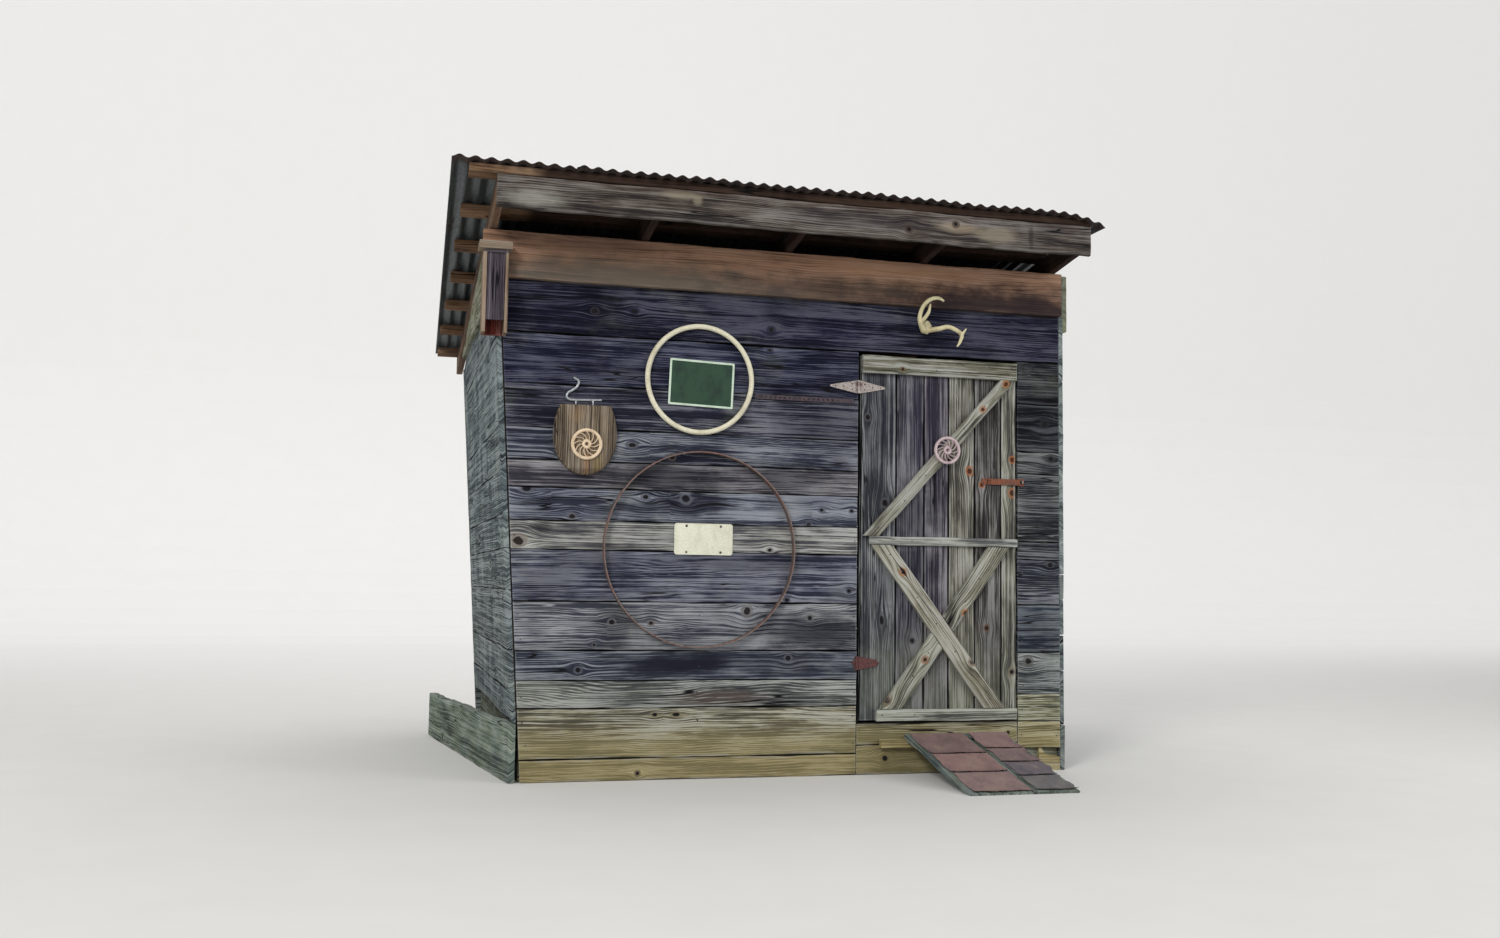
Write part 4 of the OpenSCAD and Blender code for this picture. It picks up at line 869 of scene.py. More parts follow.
back_wall = Piece("back_wall_boards")
for z, h in plain_rows(under_rafter(BACK)):
    x0 = LEFT - lean_at(z)
    back_wall.board((x0, BACK - 0.001, z), X, Z, Y, RIGHT - x0 - 0.001, h, BOARD - 0.002,
                    vary((100, 108, 108), 0.09), bow=0.0, skew=-LEAN * h)
back_wall.make("side_siding_wood", "building", ("back_wall",), clip=[ROOF_CUT, GROUND_CUT])

# Wedge-shaped boards on top of the side walls
wedge_lo, wedge_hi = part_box("side_frieze_boards")
WEDGE_L = LEFT - BOARD - 0.0003 - lean_at(wedge_lo.z)
frieze = Piece("wedge_boards")
for x, across, out in ((WEDGE_L, LEAN_UP, LEAN_OUT), (RIGHT + BOARD, Z, X)):
    frieze.board((x, FRONT + 0.002, wedge_lo.z), Y, across, out, wedge_hi.y - FRONT - 0.003,
                 HEAD - wedge_lo.z, BOARD - 0.001, vary((110, 110, 84), 0.04), 0.3, bow=0.0)
frieze.make("mossy_wood", "building", ("side_frieze_boards",), clip=[ROOF_CUT])

# Header plank, notched over the cap of the small box
box_lo, box_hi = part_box("corner_box")
cap_lo, cap_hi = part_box("corner_box_cap")
head_lo, head_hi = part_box("header_board")
HEADER_T = 0.038
NOTCH, HEADER_LEN = box_hi.x - head_lo.x, head_hi.x - head_lo.x
stations = [0, 0.04, 0.08, NOTCH - 0.0005, NOTCH + 0.0005]
stations += [NOTCH + 0.05 * i for i in range(1, int((HEADER_LEN - NOTCH) / 0.05))] + [HEADER_LEN]
header = Piece("header_plank")
header.board((head_lo.x, FRONT - HEADER_T + 0.001, head_lo.z), X, Z, FORWARD, HEADER_LEN,
             HEAD - head_lo.z - 0.001, HEADER_T - 0.002, vary((158, 122, 98), 0.02), 0.3, bow=0.001, wild=0.0,
             stations=stations, lower=lambda s: cap_hi.z - head_lo.z + 0.001 if s < NOTCH else 0.0)
header.make("header_wood", "building", ("header_board",))

# Roof timbers and sheets
FALL, FALL_UP, FALL_DOWN = (0, 1, -SLOPE), (0, SLOPE, 1), (0, -SLOPE, -1)
rafters = Piece("rafter_timbers")
rafter_step = (rafter_hi.x - rafter_lo.x - RAFTER_T) / (RAFTER_N - 1)
for i in range(RAFTER_N):
    rafters.board((rafter_lo.x + i * rafter_step, RAFTER_Y0, under_rafter(RAFTER_Y0)), FALL, FALL_UP,
                  LEFTWARD, (RAFTER_Y1 - RAFTER_Y0) / math.cos(PITCH), RAFTER_H - 0.001, RAFTER_T,
                  vary((116, 90, 70), 0.08), edge=0.0006, bow=0.0004)
rafters.make("roof_timber_wood", "building", ("rafters",),
             clip=[((0, RAFTER_Y0, 0), FORWARD), ((0, RAFTER_Y1, 0), Y)])

purlin_lo, purlin_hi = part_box("purlins")
fascia_lo, fascia_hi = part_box("fascia_board")
purlins = Piece("purlin_battens")
purlin_step = (RAFTER_Y1 - PURLIN_W - fascia_lo.y) / (PURLIN_N - 1)
for i in range(PURLIN_N):
    y = fascia_lo.y + i * purlin_step
    x = purlin_lo.x + rng.uniform(0.0, 0.012)
    purlins.board((x, y, under_rafter(y) + PURLIN_LOW), X, FALL, FALL_DOWN, purlin_hi.x - x, PURLIN_W,
                  PURLIN_T, vary((128, 98, 72), 0.1), edge=0.0008, bow=0.0005)
purlins.make("roof_timber_wood", "building", ("purlins",))

FASCIA_H, FASCIA_T = 0.155, 0.024
fascia = Piece("fascia_plank")
fascia.front_board(fascia_lo.x, fascia_hi.x, fascia_lo.y, fascia_lo.z, fascia_lo.z + FASCIA_H, FASCIA_T,
                   vary((82, 73, 66), 0.02), 0.5, edge=0.002, wild=0.8)
fascia.make("fascia_wood", "building", ("fascia_board",))


def roof_sheets(name, node, over):
    """Every second corrugated sheet, lapped at each side, a little bent and lifted at the front edge."""
    wave, high, cover, count = 0.0677, 0.0140, 8, 6
    per_wave, ny = 12, 34
    depth = SHEET_Y1 - SHEET_Y0
    piece = Piece(name)
    for i in range(over, count, 2):
        lift = Wave(0.0016, (0.9, 0.4), (1, 0.6))

        def point(a, b, level):
            along, back = a * wave / per_wave, b / (ny - 1)
            x, y = LEFT - 0.36 + i * cover * wave + along, SHEET_Y0 + depth * back
            z = under_rafter(y) + SHEET_LOW + high / 2 * (1 - math.cos(2 * math.pi * along / wave))
            z += over * 0.0018 + level * 0.0013 + max(0.0, 1 - b / 3.0) * float(lift(x)) * 1.6
            # The last sheet droops at its corner, and the first is laid askew
            if i == count - 1:
                z -= 0.055 * (max(0.0, (x - 1.16) / 0.32) * max(0.0, 1 - depth * back / 0.75)) ** 2
            if i == 0:
                x += (0.073 * back - 0.038) * max(0.0, 1 - along / (7 * wave))
            return x, y, z

        piece.sheet(point, (cover + 1) * per_wave + 1, ny)
    piece.make("roof_zinc", "building", (node,), 50)


roof_sheets("roof_sheets_lower", "roof_sheets_under", 0)
roof_sheets("roof_sheets_upper", "roof_sheets_over", 1)

# Door planks and rails
PLANK_CUTS = [0.0, 0.009, 0.228, 0.404, 0.56, 0.727, 0.899, 1.0]
PLANK_LOOKS = [((110, 112, 106), 0.3), ((92, 95, 99), 0.5), ((90, 88, 96), 0.8), ((88, 84, 94), 0.6),
               ((114, 113, 101), 0.35), ((86, 83, 78), 0.45), ((128, 126, 110), 0.3)]
door = Piece("door_plank_boards")
for a, b, (color, stain) in zip(PLANK_CUTS, PLANK_CUTS[1:], PLANK_LOOKS):
    xa, xb = DOOR_L + a * DOOR_W, DOOR_L + b * DOOR_W
    gap = 0.0044 if xb - xa > 0.02 else 0.001
    deep, up = rng.uniform(0.0, 0.0025), rng.uniform(0.001, 0.005)
    door.board((xa + gap / 2, FRONT + deep, DOOR_Z + up), Z, X, FORWARD, DOOR_TOP - DOOR_Z - 0.006,
               xb - xa - gap, 0.022, vary(color, 0.04), stain, edge=0.0010, bow=0.0006,
               knots=on_face(DOOR_KNOTS, FRONT), wild=0.35)
door.make("door_plank_wood", "door", ("door_planks",))

MID_H = 0.045
MID_LOW, LOW_TOP, TOP_LOW = DOOR_Z + 0.915, DOOR_Z + 0.062, DOOR_TOP - 0.095
MID_TOP = MID_LOW + MID_H
RAIL_L, RAIL_R, RAIL_T = DOOR_L + 0.008, DOOR_R - 0.005, 0.0235
BRACE_Y = FRONT - 0.024
brace_knots = on_face(BRACE_KNOTS, BRACE_Y)
rails = Piece("door_rail_boards")
# Each rail as its ends, foot, height, colour, stain, wobble, roundness, knots and number of seeded knots
RAILS = [
    (RAIL_L, RAIL_R, TOP_LOW, 0.094, (104, 102, 84), 0.2, 0.0012, 0.003, brace_knots, 0.4),
    (RAIL_L + 0.042, RAIL_R, MID_LOW, MID_H, (154, 154, 143), 0.15, 0.0010, 0.008, (), 0.0),
    (RAIL_L + 0.090, RAIL_R - 0.005, DOOR_Z, 0.060, (144, 147, 131), 0.3, 0.0014, 0.003, brace_knots, 0.5)]
for x0, x1, z, high, color, stain, edge, corner_r, knots, wild in RAILS:
    rails.board((x0, BRACE_Y, z), X, Z, FORWARD, x1 - x0, high, RAIL_T, vary(color, 0.02), stain, edge=edge,
                corner_r=corner_r, knots=knots, wild=wild)
rails.make("brace_wood", "door", ("door_rails",))


# Door braces
def on_door(share, z):
    return np.array((DOOR_L + share * DOOR_W, z))


def brace(name, foot, head, width, color, clip, replaces=(), stain=0.2, low_share=0.0, high_share=1.0):
    """A slanted brace on the door from foot up to head, each (x, z), cut by the clip planes."""
    low, high = foot + low_share * (head - foot), foot + high_share * (head - foot)
    d = unit(head - foot)
    side = np.array((d[1], -d[0]))
    past = width * 0.8
    start = low - d * past - side * width / 2
    piece = Piece(name)
    piece.board((start[0], BRACE_Y, start[1]), (d[0], 0, d[1]), (side[0], 0, side[1]), FORWARD,
                np.linalg.norm(high - low) + 2 * past, width, RAIL_T, vary(color, 0.02), stain, edge=0.0012,
                bow=0.0006, knots=brace_knots, wild=0.3)
    piece.make("brace_wood", "door", replaces, clip=clip)


UPPER_FOOT, UPPER_HEAD = on_door(0.069, MID_TOP), on_door(0.938, TOP_LOW)
LONG_FOOT, LONG_HEAD = on_door(0.845, LOW_TOP), on_door(0.135, MID_LOW)
SHORT_FOOT, SHORT_HEAD = on_door(0.197, LOW_TOP), on_door(0.878, MID_LOW)
LOWER_W = 0.098
CUT_AWAY = LOWER_W / 2 + 0.0025
OVER_LOW_RAIL, UNDER_MID_RAIL = ((0, 0, LOW_TOP + 0.001), DOWN), ((0, 0, MID_LOW - 0.001), Z)
long_way = unit(LONG_HEAD - LONG_FOOT)
long_side = Vector((long_way[1], 0, -long_way[0]))
long_mid = Vector((LONG_FOOT[0], 0, LONG_FOOT[1]))
brace("upper_brace_board", UPPER_FOOT, UPPER_HEAD, 0.066, (120, 119, 104),
      [((0, 0, MID_TOP + 0.0005), DOWN), ((0, 0, TOP_LOW - 0.001), Z)], ("door_upper_brace",), 0.35)
brace("long_brace_board", LONG_FOOT, LONG_HEAD, LOWER_W, (132, 128, 108), [OVER_LOW_RAIL, UNDER_MID_RAIL],
      ("door_long_brace",))
brace("short_brace_lower", SHORT_FOOT, SHORT_HEAD, LOWER_W, (132, 132, 114),
      [OVER_LOW_RAIL, (long_mid - long_side * CUT_AWAY, long_side)], ("door_short_brace",), high_share=0.44)
brace("short_brace_upper", SHORT_FOOT, SHORT_HEAD, LOWER_W, (132, 129, 110),
      [UNDER_MID_RAIL, (long_mid + long_side * CUT_AWAY, -long_side)], low_share=0.58)

# Loose skirt board and ramp
SPLAY = math.radians(7.5)
SKIRT_H, SKIRT_T, SKIRT_LEN = 0.284, 0.037, 2.18
skirt_back = (-math.sin(SPLAY), math.cos(SPLAY), 0)
skirt_out = np.array((-math.cos(SPLAY), -math.sin(SPLAY), 0))
skirt_foot = np.array((LEFT + BOARD - lean_at(0.285) - 0.0003, FRONT + 0.0003, 0.0)) + skirt_out * 0.038
skirt = Piece("skirt_plank")
skirt.board(skirt_foot, skirt_back, Z, skirt_out, SKIRT_LEN, SKIRT_H, SKIRT_T, vary((104, 118, 110), 0.02),
            0.4, edge=0.003, bow=0.0, taper=0.02)
skirt.make("mossy_wood", "building", ("skirt_board",), clip=[GROUND_CUT])

RAMP_X, RAMP_Z = LEFT + 2.025, FLOOR - 0.058
RAMP_W, RAMP_RUN, RAMP_SHIFT, RAMP_T = 0.565, 0.76, 0.030, 0.026
RAMP_FALL = RAMP_Z - RAMP_T / 2
RAMP_LEN = math.hypot(RAMP_SHIFT, RAMP_RUN, RAMP_FALL)
RAMP_SEAM = 0.57 * RAMP_W
ramp_down = unit((RAMP_SHIFT, -RAMP_RUN, -RAMP_FALL))
ramp_up = unit((0, -RAMP_FALL, RAMP_RUN))
ramp = Piece("ramp_planks")
for xa, xb, color in ((0.0, RAMP_SEAM - 0.003, (104, 116, 114)),
                      (RAMP_SEAM + 0.003, RAMP_W, (100, 112, 106))):
    ramp.board((RAMP_X + xa, FRONT - 0.001, RAMP_Z - 0.002), ramp_down, X, ramp_up, RAMP_LEN, xb - xa, RAMP_T,
               vary(color, 0.03), 0.4, edge=0.002, bow=0.001)
ramp.make("mossy_wood", "building", ("ramp_boards",), clip=[GROUND_CUT])

# Squares of old roofing felt on the ramp: columns of (left, right, raggedness, squares), the squares being
# (head, foot, colour)
FELT = [
    (0.030, 0.560, 0.003, [(0.012, 0.372, (126, 106, 104)), (0.381, 0.684, (140, 115, 110)),
                           (0.693, 0.993, (138, 117, 113))]),
    (0.618, 0.980, 0.011, [(0.008, 0.297, (138, 114, 111)), (0.305, 0.532, (124, 107, 106)),
                           (0.541, 0.757, (108, 100, 104)), (0.766, 0.986, (108, 104, 103))])]
FELT_T = 0.003


def felt_square(piece, u0, u1, v0, v1, ragged, color):
    """One square of felt with curled and nibbled edges."""
    nx, ny = 16, 14
    nibble = [Wave(size, (0.21, 0.09, 0.04), (1, 0.6, 0.4)) for size in (0.004, ragged, 0.0015, 0.0025)]

    def point(i, j, level):
        side, end = 2 * i / nx - 1, 2 * j / ny - 1
        across, along = (u0 + (u1 - u0) * i / nx) * RAMP_W, (v0 + (v1 - v0) * j / ny) * RAMP_LEN
        across += side ** 9 * float(nibble[0 if side < 0 else 1](along))
        along += end ** 9 * float(nibble[2 if end < 0 else 3](across))
        curl = 0.002 * side ** 10 + (0.007 if end > 0 else 0.001) * end ** 10
        place = np.array((RAMP_X + across, FRONT - 0.001, RAMP_Z - 0.001))
        return place + ramp_down * along + ramp_up * (0.0012 + curl + FELT_T * level)

    before = len(piece.faces)
    piece.sheet(point, nx + 1, ny + 1, True)
    piece.data["tint"] += [vary(color, 0.05)] * (len(piece.faces) - before)


felt = Piece("ramp_felt_squares")
for u0, u1, ragged, squares in FELT:
    for v0, v1, color in squares:
        felt_square(felt, u0, u1, v0, v1, ragged, color)
felt.make("ramp_felt", "building", (), 40)

# Small open box at the corner
BOX_T, BOX_D = 0.016, 0.112
BOX_L, BOX_R, BOX_Z, BOX_TOP = box_lo.x, box_hi.x, box_lo.z, box_hi.z
BOX_H, BOX_W = BOX_TOP - BOX_Z, BOX_R - BOX_L
BOX_Y = FRONT - BOX_D
RED_BROWN = (78, 69, 77)
PLAIN = {"bow": 0, "wild": 0}
small = Piece("box_boards")
for x, out in ((BOX_L, LEFTWARD), (BOX_R, X)):
    small.board((x, BOX_Y, BOX_Z), Z, Y, out, BOX_H - 0.001, BOX_D, BOX_T, vary((134, 112, 90), 0.03), 0.3,
                edge=0.0008, **PLAIN)
small.board((BOX_L + BOX_T, BOX_Y + 0.008, BOX_Z + 0.062), Z, X, FORWARD, BOX_H - 0.062, BOX_W - 2 * BOX_T,
            BOX_T, vary(RED_BROWN, 0.02), 0.5, edge=0.0008, **PLAIN)
small.board((BOX_L + BOX_T, FRONT - BOX_T, BOX_Z), Z, X, FORWARD, BOX_H, BOX_W - 2 * BOX_T, BOX_T - 0.001,
            vary((120, 56, 48), 0.02), 0.1, edge=0.0004, **PLAIN)
small.board((BOX_L, BOX_Y, BOX_TOP), X, Y, Z, BOX_W, BOX_D, BOX_T, vary(RED_BROWN, 0.02), edge=0.0004,
            **PLAIN)
small.make("box_wood", "building", ("corner_box",))

CAP_H = cap_hi.z - cap_lo.z - 0.001
cap = Piece("box_cap_board")
for x_end, y0, depth in ((cap_hi.x, cap_lo.y, head_lo.y - cap_lo.y),
                         (head_lo.x - 0.0005, head_lo.y + 0.0005, 0.037)):
    cap.board((cap_lo.x, y0, cap_lo.z), X, Z, FORWARD, x_end - cap_lo.x, CAP_H, depth - 0.001,
              vary((128, 112, 94), 0.02), 0.2, edge=0.0008, **PLAIN)
cap.make("box_wood", "building", ("corner_box_cap",))

# Seat lid, an oval that is cut off flat at its top and foot
LID_X, LID_Z = LEFT + 0.314, 1.676
LID_W, LID_H, LID_T = 0.319, 0.352, 0.022
outline = []
for a in turns(96):
    z = LID_H * (0.06 + math.sin(a) * (0.72 if math.sin(a) > 0 else 0.56))
    outline.append((LID_W / 2 * math.cos(a) * 0.998, max(-LID_H / 2, min(LID_H / 2, z)) * 0.998))
lid = Piece("seat_lid_board")
lid.slab((LID_X, LID_Z), outline, FRONT, LID_T, 0.009, rows=5)
lid.make("lid_wood", "building", ("seat_lid",), 50)

# Cast rosettes: a round rim, twelve curved spokes, and a hub with a hole
ROSETTE_D, ROSETTE_T = 0.156, 0.014
RIM_PROFILE = [(0, 0), (0, 0.7), (0.2, 0.95), (0.5, 1), (0.8, 0.9), (1, 0.6), (1, 0)]
HUB_PROFILE = [(1, 0), (1, 0.75), (0.85, 1), (0.55, 1), (0.38, 0.7), (0.38, 0)]
SPOKE = [(-0.5, 0.0), (-0.5, 0.45), (-0.2, 0.74), (0.2, 0.74), (0.5, 0.45), (0.5, 0.0)]


def rosette(name, x, y, z, d, material, body, node):
    piece = Piece(name)
    half, rim, hub = d / 2, 0.10 * d, 0.15 * d
    for profile in ([(half - share * rim, h) for share, h in RIM_PROFILE],
                    [(share * hub, h) for share, h in HUB_PROFILE]):
        rings = []
        for a in turns(72):
            section = [(x + r * math.cos(a), y - h * ROSETTE_T, z + r * math.sin(a)) for r, h in profile]
            rings.append(piece.ring(section))
        piece.skin(rings + rings[:1], False, True)
    steps = 7
    for start in turns(12):
        rings = []
        for f in np.linspace(0, 1, steps + 1):
            r = 0.9 * hub + (half - 0.7 * rim - 0.9 * hub) * f
            a = start + 0.62 * f ** 1.25
            w = (0.024 + 0.022 * f) * d
            rings.append(piece.ring([(x + r * math.cos(a) - w * share * math.sin(a), y - h * ROSETTE_T,
                                      z + r * math.sin(a) + w * share * math.cos(a)) for share, h in SPOKE]))
        piece.skin(rings)
    piece.make(material, body, (node,), 40)


rose_x, rose_z = UPPER_FOOT + 0.54 * (UPPER_HEAD - UPPER_FOOT)
rosette("lid_rosette_casting", LID_X + 0.006, FRONT - LID_T, LID_Z - 0.021, ROSETTE_D, "rosette_paint",
        "building", "lid_rosette")
rosette("door_rosette_casting", rose_x, BRACE_Y, rose_z, 0.95 * ROSETTE_D, "door_rosette_paint", "door",
        "door_rosette")

# Bent hook over the lid, on two posts
HOOK_Y, ROD_Z, ROD_R = FRONT - 0.0068, 1.876, 0.006
POST_FOOT, POST_R = 1.852, 0.0042
BENDS = [(-59, 109), (-40, 97), (-38, 84), (-48, 64), (-70, 47), (-90, 33), (-96, 14), (-76, 0), (0, 1),
         (75, 4)]
hook = Piece("lid_hook_rod")
hook.tube([(LID_X + x / 1000, HOOK_Y, ROD_Z + z / 1000) for x, z in BENDS], [ROD_R, ROD_R], 12, 7)
for x in (LID_X - 0.050, LID_X + 0.036):
    hook.tube([(x, HOOK_Y, POST_FOOT), (x, HOOK_Y, ROD_Z)], [POST_R, POST_R], 10, 2)
hook.make("grey_steel", "building", ("lid_hook",), 60)

# Antlers over the door, as smooth beams of (x, out, z, thickness) on a piece of skull
ANTLER_AT = np.array((0.657, FRONT, 2.363))
ANTLER_R = 0.012
BEAMS = [
    [(-20, 24, -28, 1.2), (-46, 50, 7, 1.1), (-56, 66, 47, 1), (-38, 76, 99, 0.95), (-2, 82, 134, 0.9),
     (43, 82, 143, 0.8), (72, 80, 131, 0.5)],
    [(-46, 50, 7, 0.9), (-20, 92, 57, 0.8), (-13, 104, 101, 0.4)],
    [(18, 24, -21, 1.2), (57, 54, -16, 1.1), (102, 72, -7, 1), (145, 80, -22, 0.95), (178, 80, -47, 0.9),
     (169, 78, -85, 0.7), (155, 76, -108, 0.4)],
    [(178, 80, -47, 0.7), (199, 88, -15, 0.35)]]
antlers = Piece("antler_beams")
for beam in BEAMS:
    antlers.tube([ANTLER_AT + np.array((x, -out, z)) / 1000 for x, out, z, _ in beam],
                 [ANTLER_R * k for *_, k in beam], 14, 7)
antlers.ball(ANTLER_AT + (0, -0.016, -0.006), (0.030, 0.0158, 0.036), 10, 18, 0.10)
antlers.ball(ANTLER_AT + (-0.018, -0.022, -0.026), (0.015, 0.013, 0.012), 8, 12, 0.08)
antlers.ball(ANTLER_AT + (0.018, -0.022, -0.020), (0.015, 0.013, 0.012), 8, 12, 0.08)
antlers.make("antler_bone", "building", ("antlers",), 60)

# Nail heads, by the studs behind the boards
LEFT_STUDS, RIGHT_STUDS, SIDE_STUDS = (0.06, 0.91, 1.74), (2.70, 2.90), (-1.16, -0.40, 0.40, 1.14)


def nail_heights(z0, z1):
    """Two nails in a wide board, one in a narrow one."""
    for share in ((0.25, 0.75) if z1 - z0 > 0.17 else (0.5,)):
        yield z0 + BASE + share * (z1 - z0) + rng.uniform(-0.01, 0.01)


nails = Piece("wall_nail_heads")
for z0, z1, *_ in LEFT_ROWS[1:] + [(OVER_FOOT, OVER_SEAM), (OVER_SEAM, 2.44)]:
    for u in LEFT_STUDS:
        for z in nail_heights(z0, z1):
            x = u + LEFT + rng.uniform(-0.008, 0.008) - (lean_at(z) if u < 0.1 else 0)
            if rng.random() < 0.8 and z < 2.45:
                nails.head((x, FRONT + 0.0005, z), 0.0038)
for z0, z1, *_ in RIGHT_ROWS + [(OVER_FOOT, OVER_SEAM)]:
    for u in RIGHT_STUDS:
        for z in nail_heights(z0, z1):
            nails.head((u + LEFT + rng.uniform(-0.008, 0.008), FRONT + 0.0005, z), 0.0036)
for z0, z1 in zip(SIDE_SEAMS, SIDE_SEAMS[1:]):
    for y in SIDE_STUDS:
        for z in (z0 + BASE + 0.3 * (z1 - z0), z0 + BASE + 0.7 * (z1 - z0)):
            if z < under_rafter(y) - 0.02:
                nails.head((LEFT - lean_at(z) + 0.0006, y + rng.uniform(-0.01, 0.01), z), 0.0038, LEFTWARD)
nails.make("nail_iron", "building", (), 50)

NAIL_Y = BRACE_Y + 0.0004
nails = Piece("door_nail_heads")
for share in (0.06, 0.30, 0.48, 0.64, 0.81, 0.95):
    for z in (TOP_LOW + 0.030, TOP_LOW + 0.066):
        nails.head((DOOR_L + share * DOOR_W + rng.uniform(-0.01, 0.01), NAIL_Y, z), 0.0042)
for share in (0.12, 0.32, 0.50, 0.66, 0.82, 0.95):
    nails.head((DOOR_L + share * DOOR_W, NAIL_Y, MID_LOW + 0.022), 0.0035)
    nails.head((DOOR_L + min(0.94, share + 0.02) * DOOR_W, NAIL_Y, DOOR_Z + 0.032), 0.0040)
for foot, head, shares in ((UPPER_FOOT, UPPER_HEAD, (0.05, 0.22, 0.38, 0.68, 0.83, 0.95)),
                           (LONG_FOOT, LONG_HEAD, (0.06, 0.20, 0.35, 0.52, 0.68, 0.84, 0.94)),
                           (SHORT_FOOT, SHORT_HEAD, (0.06, 0.20, 0.34, 0.66, 0.80, 0.94))):
    for share in shares:
        x, z = foot + share * (head - foot)
        nails.head((x + rng.uniform(-0.012, 0.012), NAIL_Y, z), 0.0042)
nails.make("nail_iron", "door", (), 50)

# Screws of the hinges, the hasp and the number plate, each as (x, z)
SCREW_Y = FRONT - 0.0038
UPPER_HINGE_Z, LOWER_HINGE_Z, HASP_Z = DOOR_Z + 1.744, DOOR_Z + 0.299, 1.542
PIN_X, HASP_X = OPEN_L - 0.002, 1.028
HOOP_X, HOOP_Z = LEFT + 0.910, 1.146
PLATE_X, PLATE_Z = HOOP_X + 0.020, HOOP_Z + 0.051
screws = Piece("wall_screw_heads")
for x, z in ((-0.035, 0.015), (-0.035, -0.015), (-0.085, 0), (-0.128, 0)):
    screws.head((PIN_X + x, SCREW_Y, UPPER_HINGE_Z + z), 0.0045, rise=0.35)
for z in (-0.02, 0.02):
    screws.head((PIN_X - 0.018, SCREW_Y, LOWER_HINGE_Z + z), 0.0040, rise=0.35)
for x in (-0.089, 0.089):
    for z in (-0.066, 0.066):
        screws.head((PLATE_X + x, FRONT - 0.0012, PLATE_Z + z), 0.0062, rise=0.3)
screws.make("nail_iron", "building", (), 50)

DOOR_SCREWS = [
    (PIN_X, UPPER_HINGE_Z, [(0.035, 0.015), (0.035, -0.015), (0.080, 0), (0.122, 0)]),
    (PIN_X, LOWER_HINGE_Z, [(0.030, 0.018), (0.030, -0.018), (0.075, 0)]),
    (HASP_X, HASP_Z, [(-0.020, 0.008), (-0.030, -0.008)])]
screws = Piece("door_screw_heads")
for at_x, at_z, places in DOOR_SCREWS:
    for x, z in places:
        screws.head((at_x + x, SCREW_Y, at_z + z), 0.0043, rise=0.35)
screws.make("nail_iron", "door", (), 50)

# Sign inside the rim and number plate, both bare, with a raised border
SIGN_AT = (LEFT + 0.906, 1.991)
SIGN_W, SIGN_H, TILT = 0.340, 0.238, math.radians(2)
field = round_outline(SIGN_W - 0.022, SIGN_H - 0.022, 0.004)
sign = Piece("sign_panel")
sign.slab(SIGN_AT, field, FRONT, 0.0024, 0.0006, tilt=TILT)
sign.make("sign_paint", "building", ("sign_plate",), 40)
border = Piece("sign_border")
border.slab(SIGN_AT, round_outline(SIGN_W - 0.001, SIGN_H - 0.001, 0.006), FRONT, 0.003, 0.0008, field, TILT)
border.make("sign_border_paint", "building", (), 40)

PLATE_W, PLATE_H, PLATE_R = 0.305, 0.160, 0.014
whole = round_outline(PLATE_W - 0.001, PLATE_H - 0.001, PLATE_R)
inner = round_outline(PLATE_W - 0.012, PLATE_H - 0.012, PLATE_R - 0.005)
plate = Piece("number_plate_panel")
plate.slab((PLATE_X, PLATE_Z), whole, FRONT, 0.0014, 0.0004)
plate.slab((PLATE_X, PLATE_Z), whole, FRONT - 0.0002, 0.0022, 0.0008, inner)
plate.make("plate_paint", "building", ("number_plate",), 40)

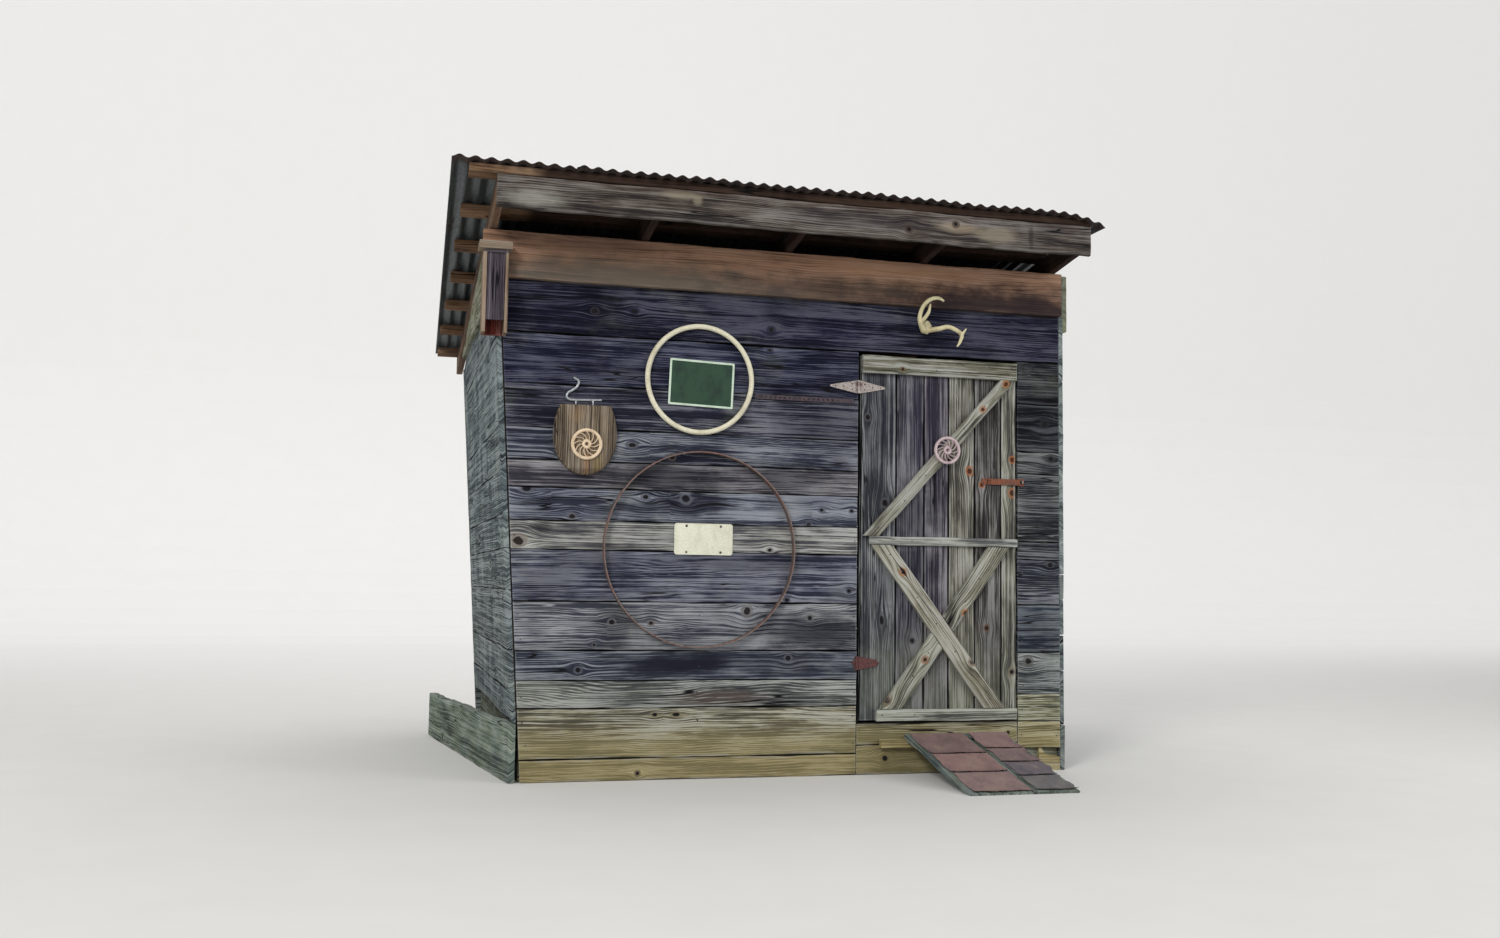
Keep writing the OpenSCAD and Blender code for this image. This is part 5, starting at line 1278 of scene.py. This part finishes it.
# Materials of the model's own solids
SOLIDS = {
    "skid_wood": ("floor_skids",), "joist_wood": ("floor_joists",),
    "cleat_wood": ("ramp_cleat", "corner_block"),
    "inner_wood_X": ("floor_planks", "top_plates"), "inner_wood_Y": ("side_plates",),
    "inner_wood_Z": ("wall_posts",), "cream_rim_paint": ("round_rim",), "rusty_iron": ("iron_hoop",),
    "dark_strap_iron": ("holed_strap",), "hinge_steel": ("hinge_wall_leaves", "hinge_door_leaves"),
    "grey_steel": ("hasp_staple",), "orange_rust": ("hasp_plate", "hasp_strap")}
for material, nodes in SOLIDS.items():
    for node in nodes:
        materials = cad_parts[node].data.materials
        materials.clear()
        materials.append(MATERIALS[material])

# Studio floor with a curved backdrop
curve = [(12 + 5 * math.sin(a), 5 - 5 * math.cos(a)) for a in np.linspace(0.1, math.pi / 2, 14)]
profile = [(-60, 0), (12, 0), *curve, (17, 30)]
floor_mesh = bpy.data.meshes.new("studio_floor")
floor_mesh.from_pydata([(x, y, z) for y, z in profile for x in (-150, 150)], [],
                       [(i, i + 1, i + 3, i + 2) for i in range(0, 2 * len(profile) - 2, 2)])
floor = link("studio_floor", floor_mesh)
g = Graph("studio_floor")
RAYS = ("Is Camera Ray", "Is Glossy Ray", "Is Transmission Ray")
to_eye, glossy, through = (g.node("LightPath", {}, ray) for ray in RAYS)
seen = g.math("MAXIMUM", to_eye, g.math("MAXIMUM", glossy, through))
g.shader(Base_Color=g.mix(g.at(3, 3, 3, 3), srgb(204, 203, 200), srgb(210, 209, 207)), Roughness=0.9,
         Specular_IOR_Level=0.0, Emission_Color=(1, 1, 1, 1),
         Emission_Strength=seen * g.span(g.py, -1.0, 14.0, 0.03, 0.40))
floor_mesh.materials.append(g.mat)

# Soft, plain light
world = bpy.data.worlds.new("studio")
bpy.context.scene.world = world
world.use_nodes = True
background = world.node_tree.nodes["Background"]
background.inputs["Color"].default_value = (1, 1, 1, 1)
background.inputs["Strength"].default_value = 0.62


def lamp(name, place, target, size, power, color=(1, 1, 1)):
    data = bpy.data.lights.new(name, "AREA")
    data.shape = "RECTANGLE"
    data.size, data.size_y = size
    data.energy = power
    data.color = color
    o = link(name, data)
    o.location = place
    o.rotation_euler = (Vector(target) - Vector(place)).to_track_quat("-Z", "Y").to_euler()


lamp("key", (-10.5, -14.0, 10.5), (0, -1, 1.2), (4.5, 4.5), 1750, (1.0, 0.985, 0.95))
lamp("fill", (7.5, -7.0, 4.0), (0, -1, 1.2), (5.0, 4.0), 260, (0.95, 0.975, 1.0))
lamp("top", (0, 2.0, 9.0), (0, 0, 0), (7.0, 7.0), 300)

bpy.context.scene.view_settings.view_transform = "Standard"
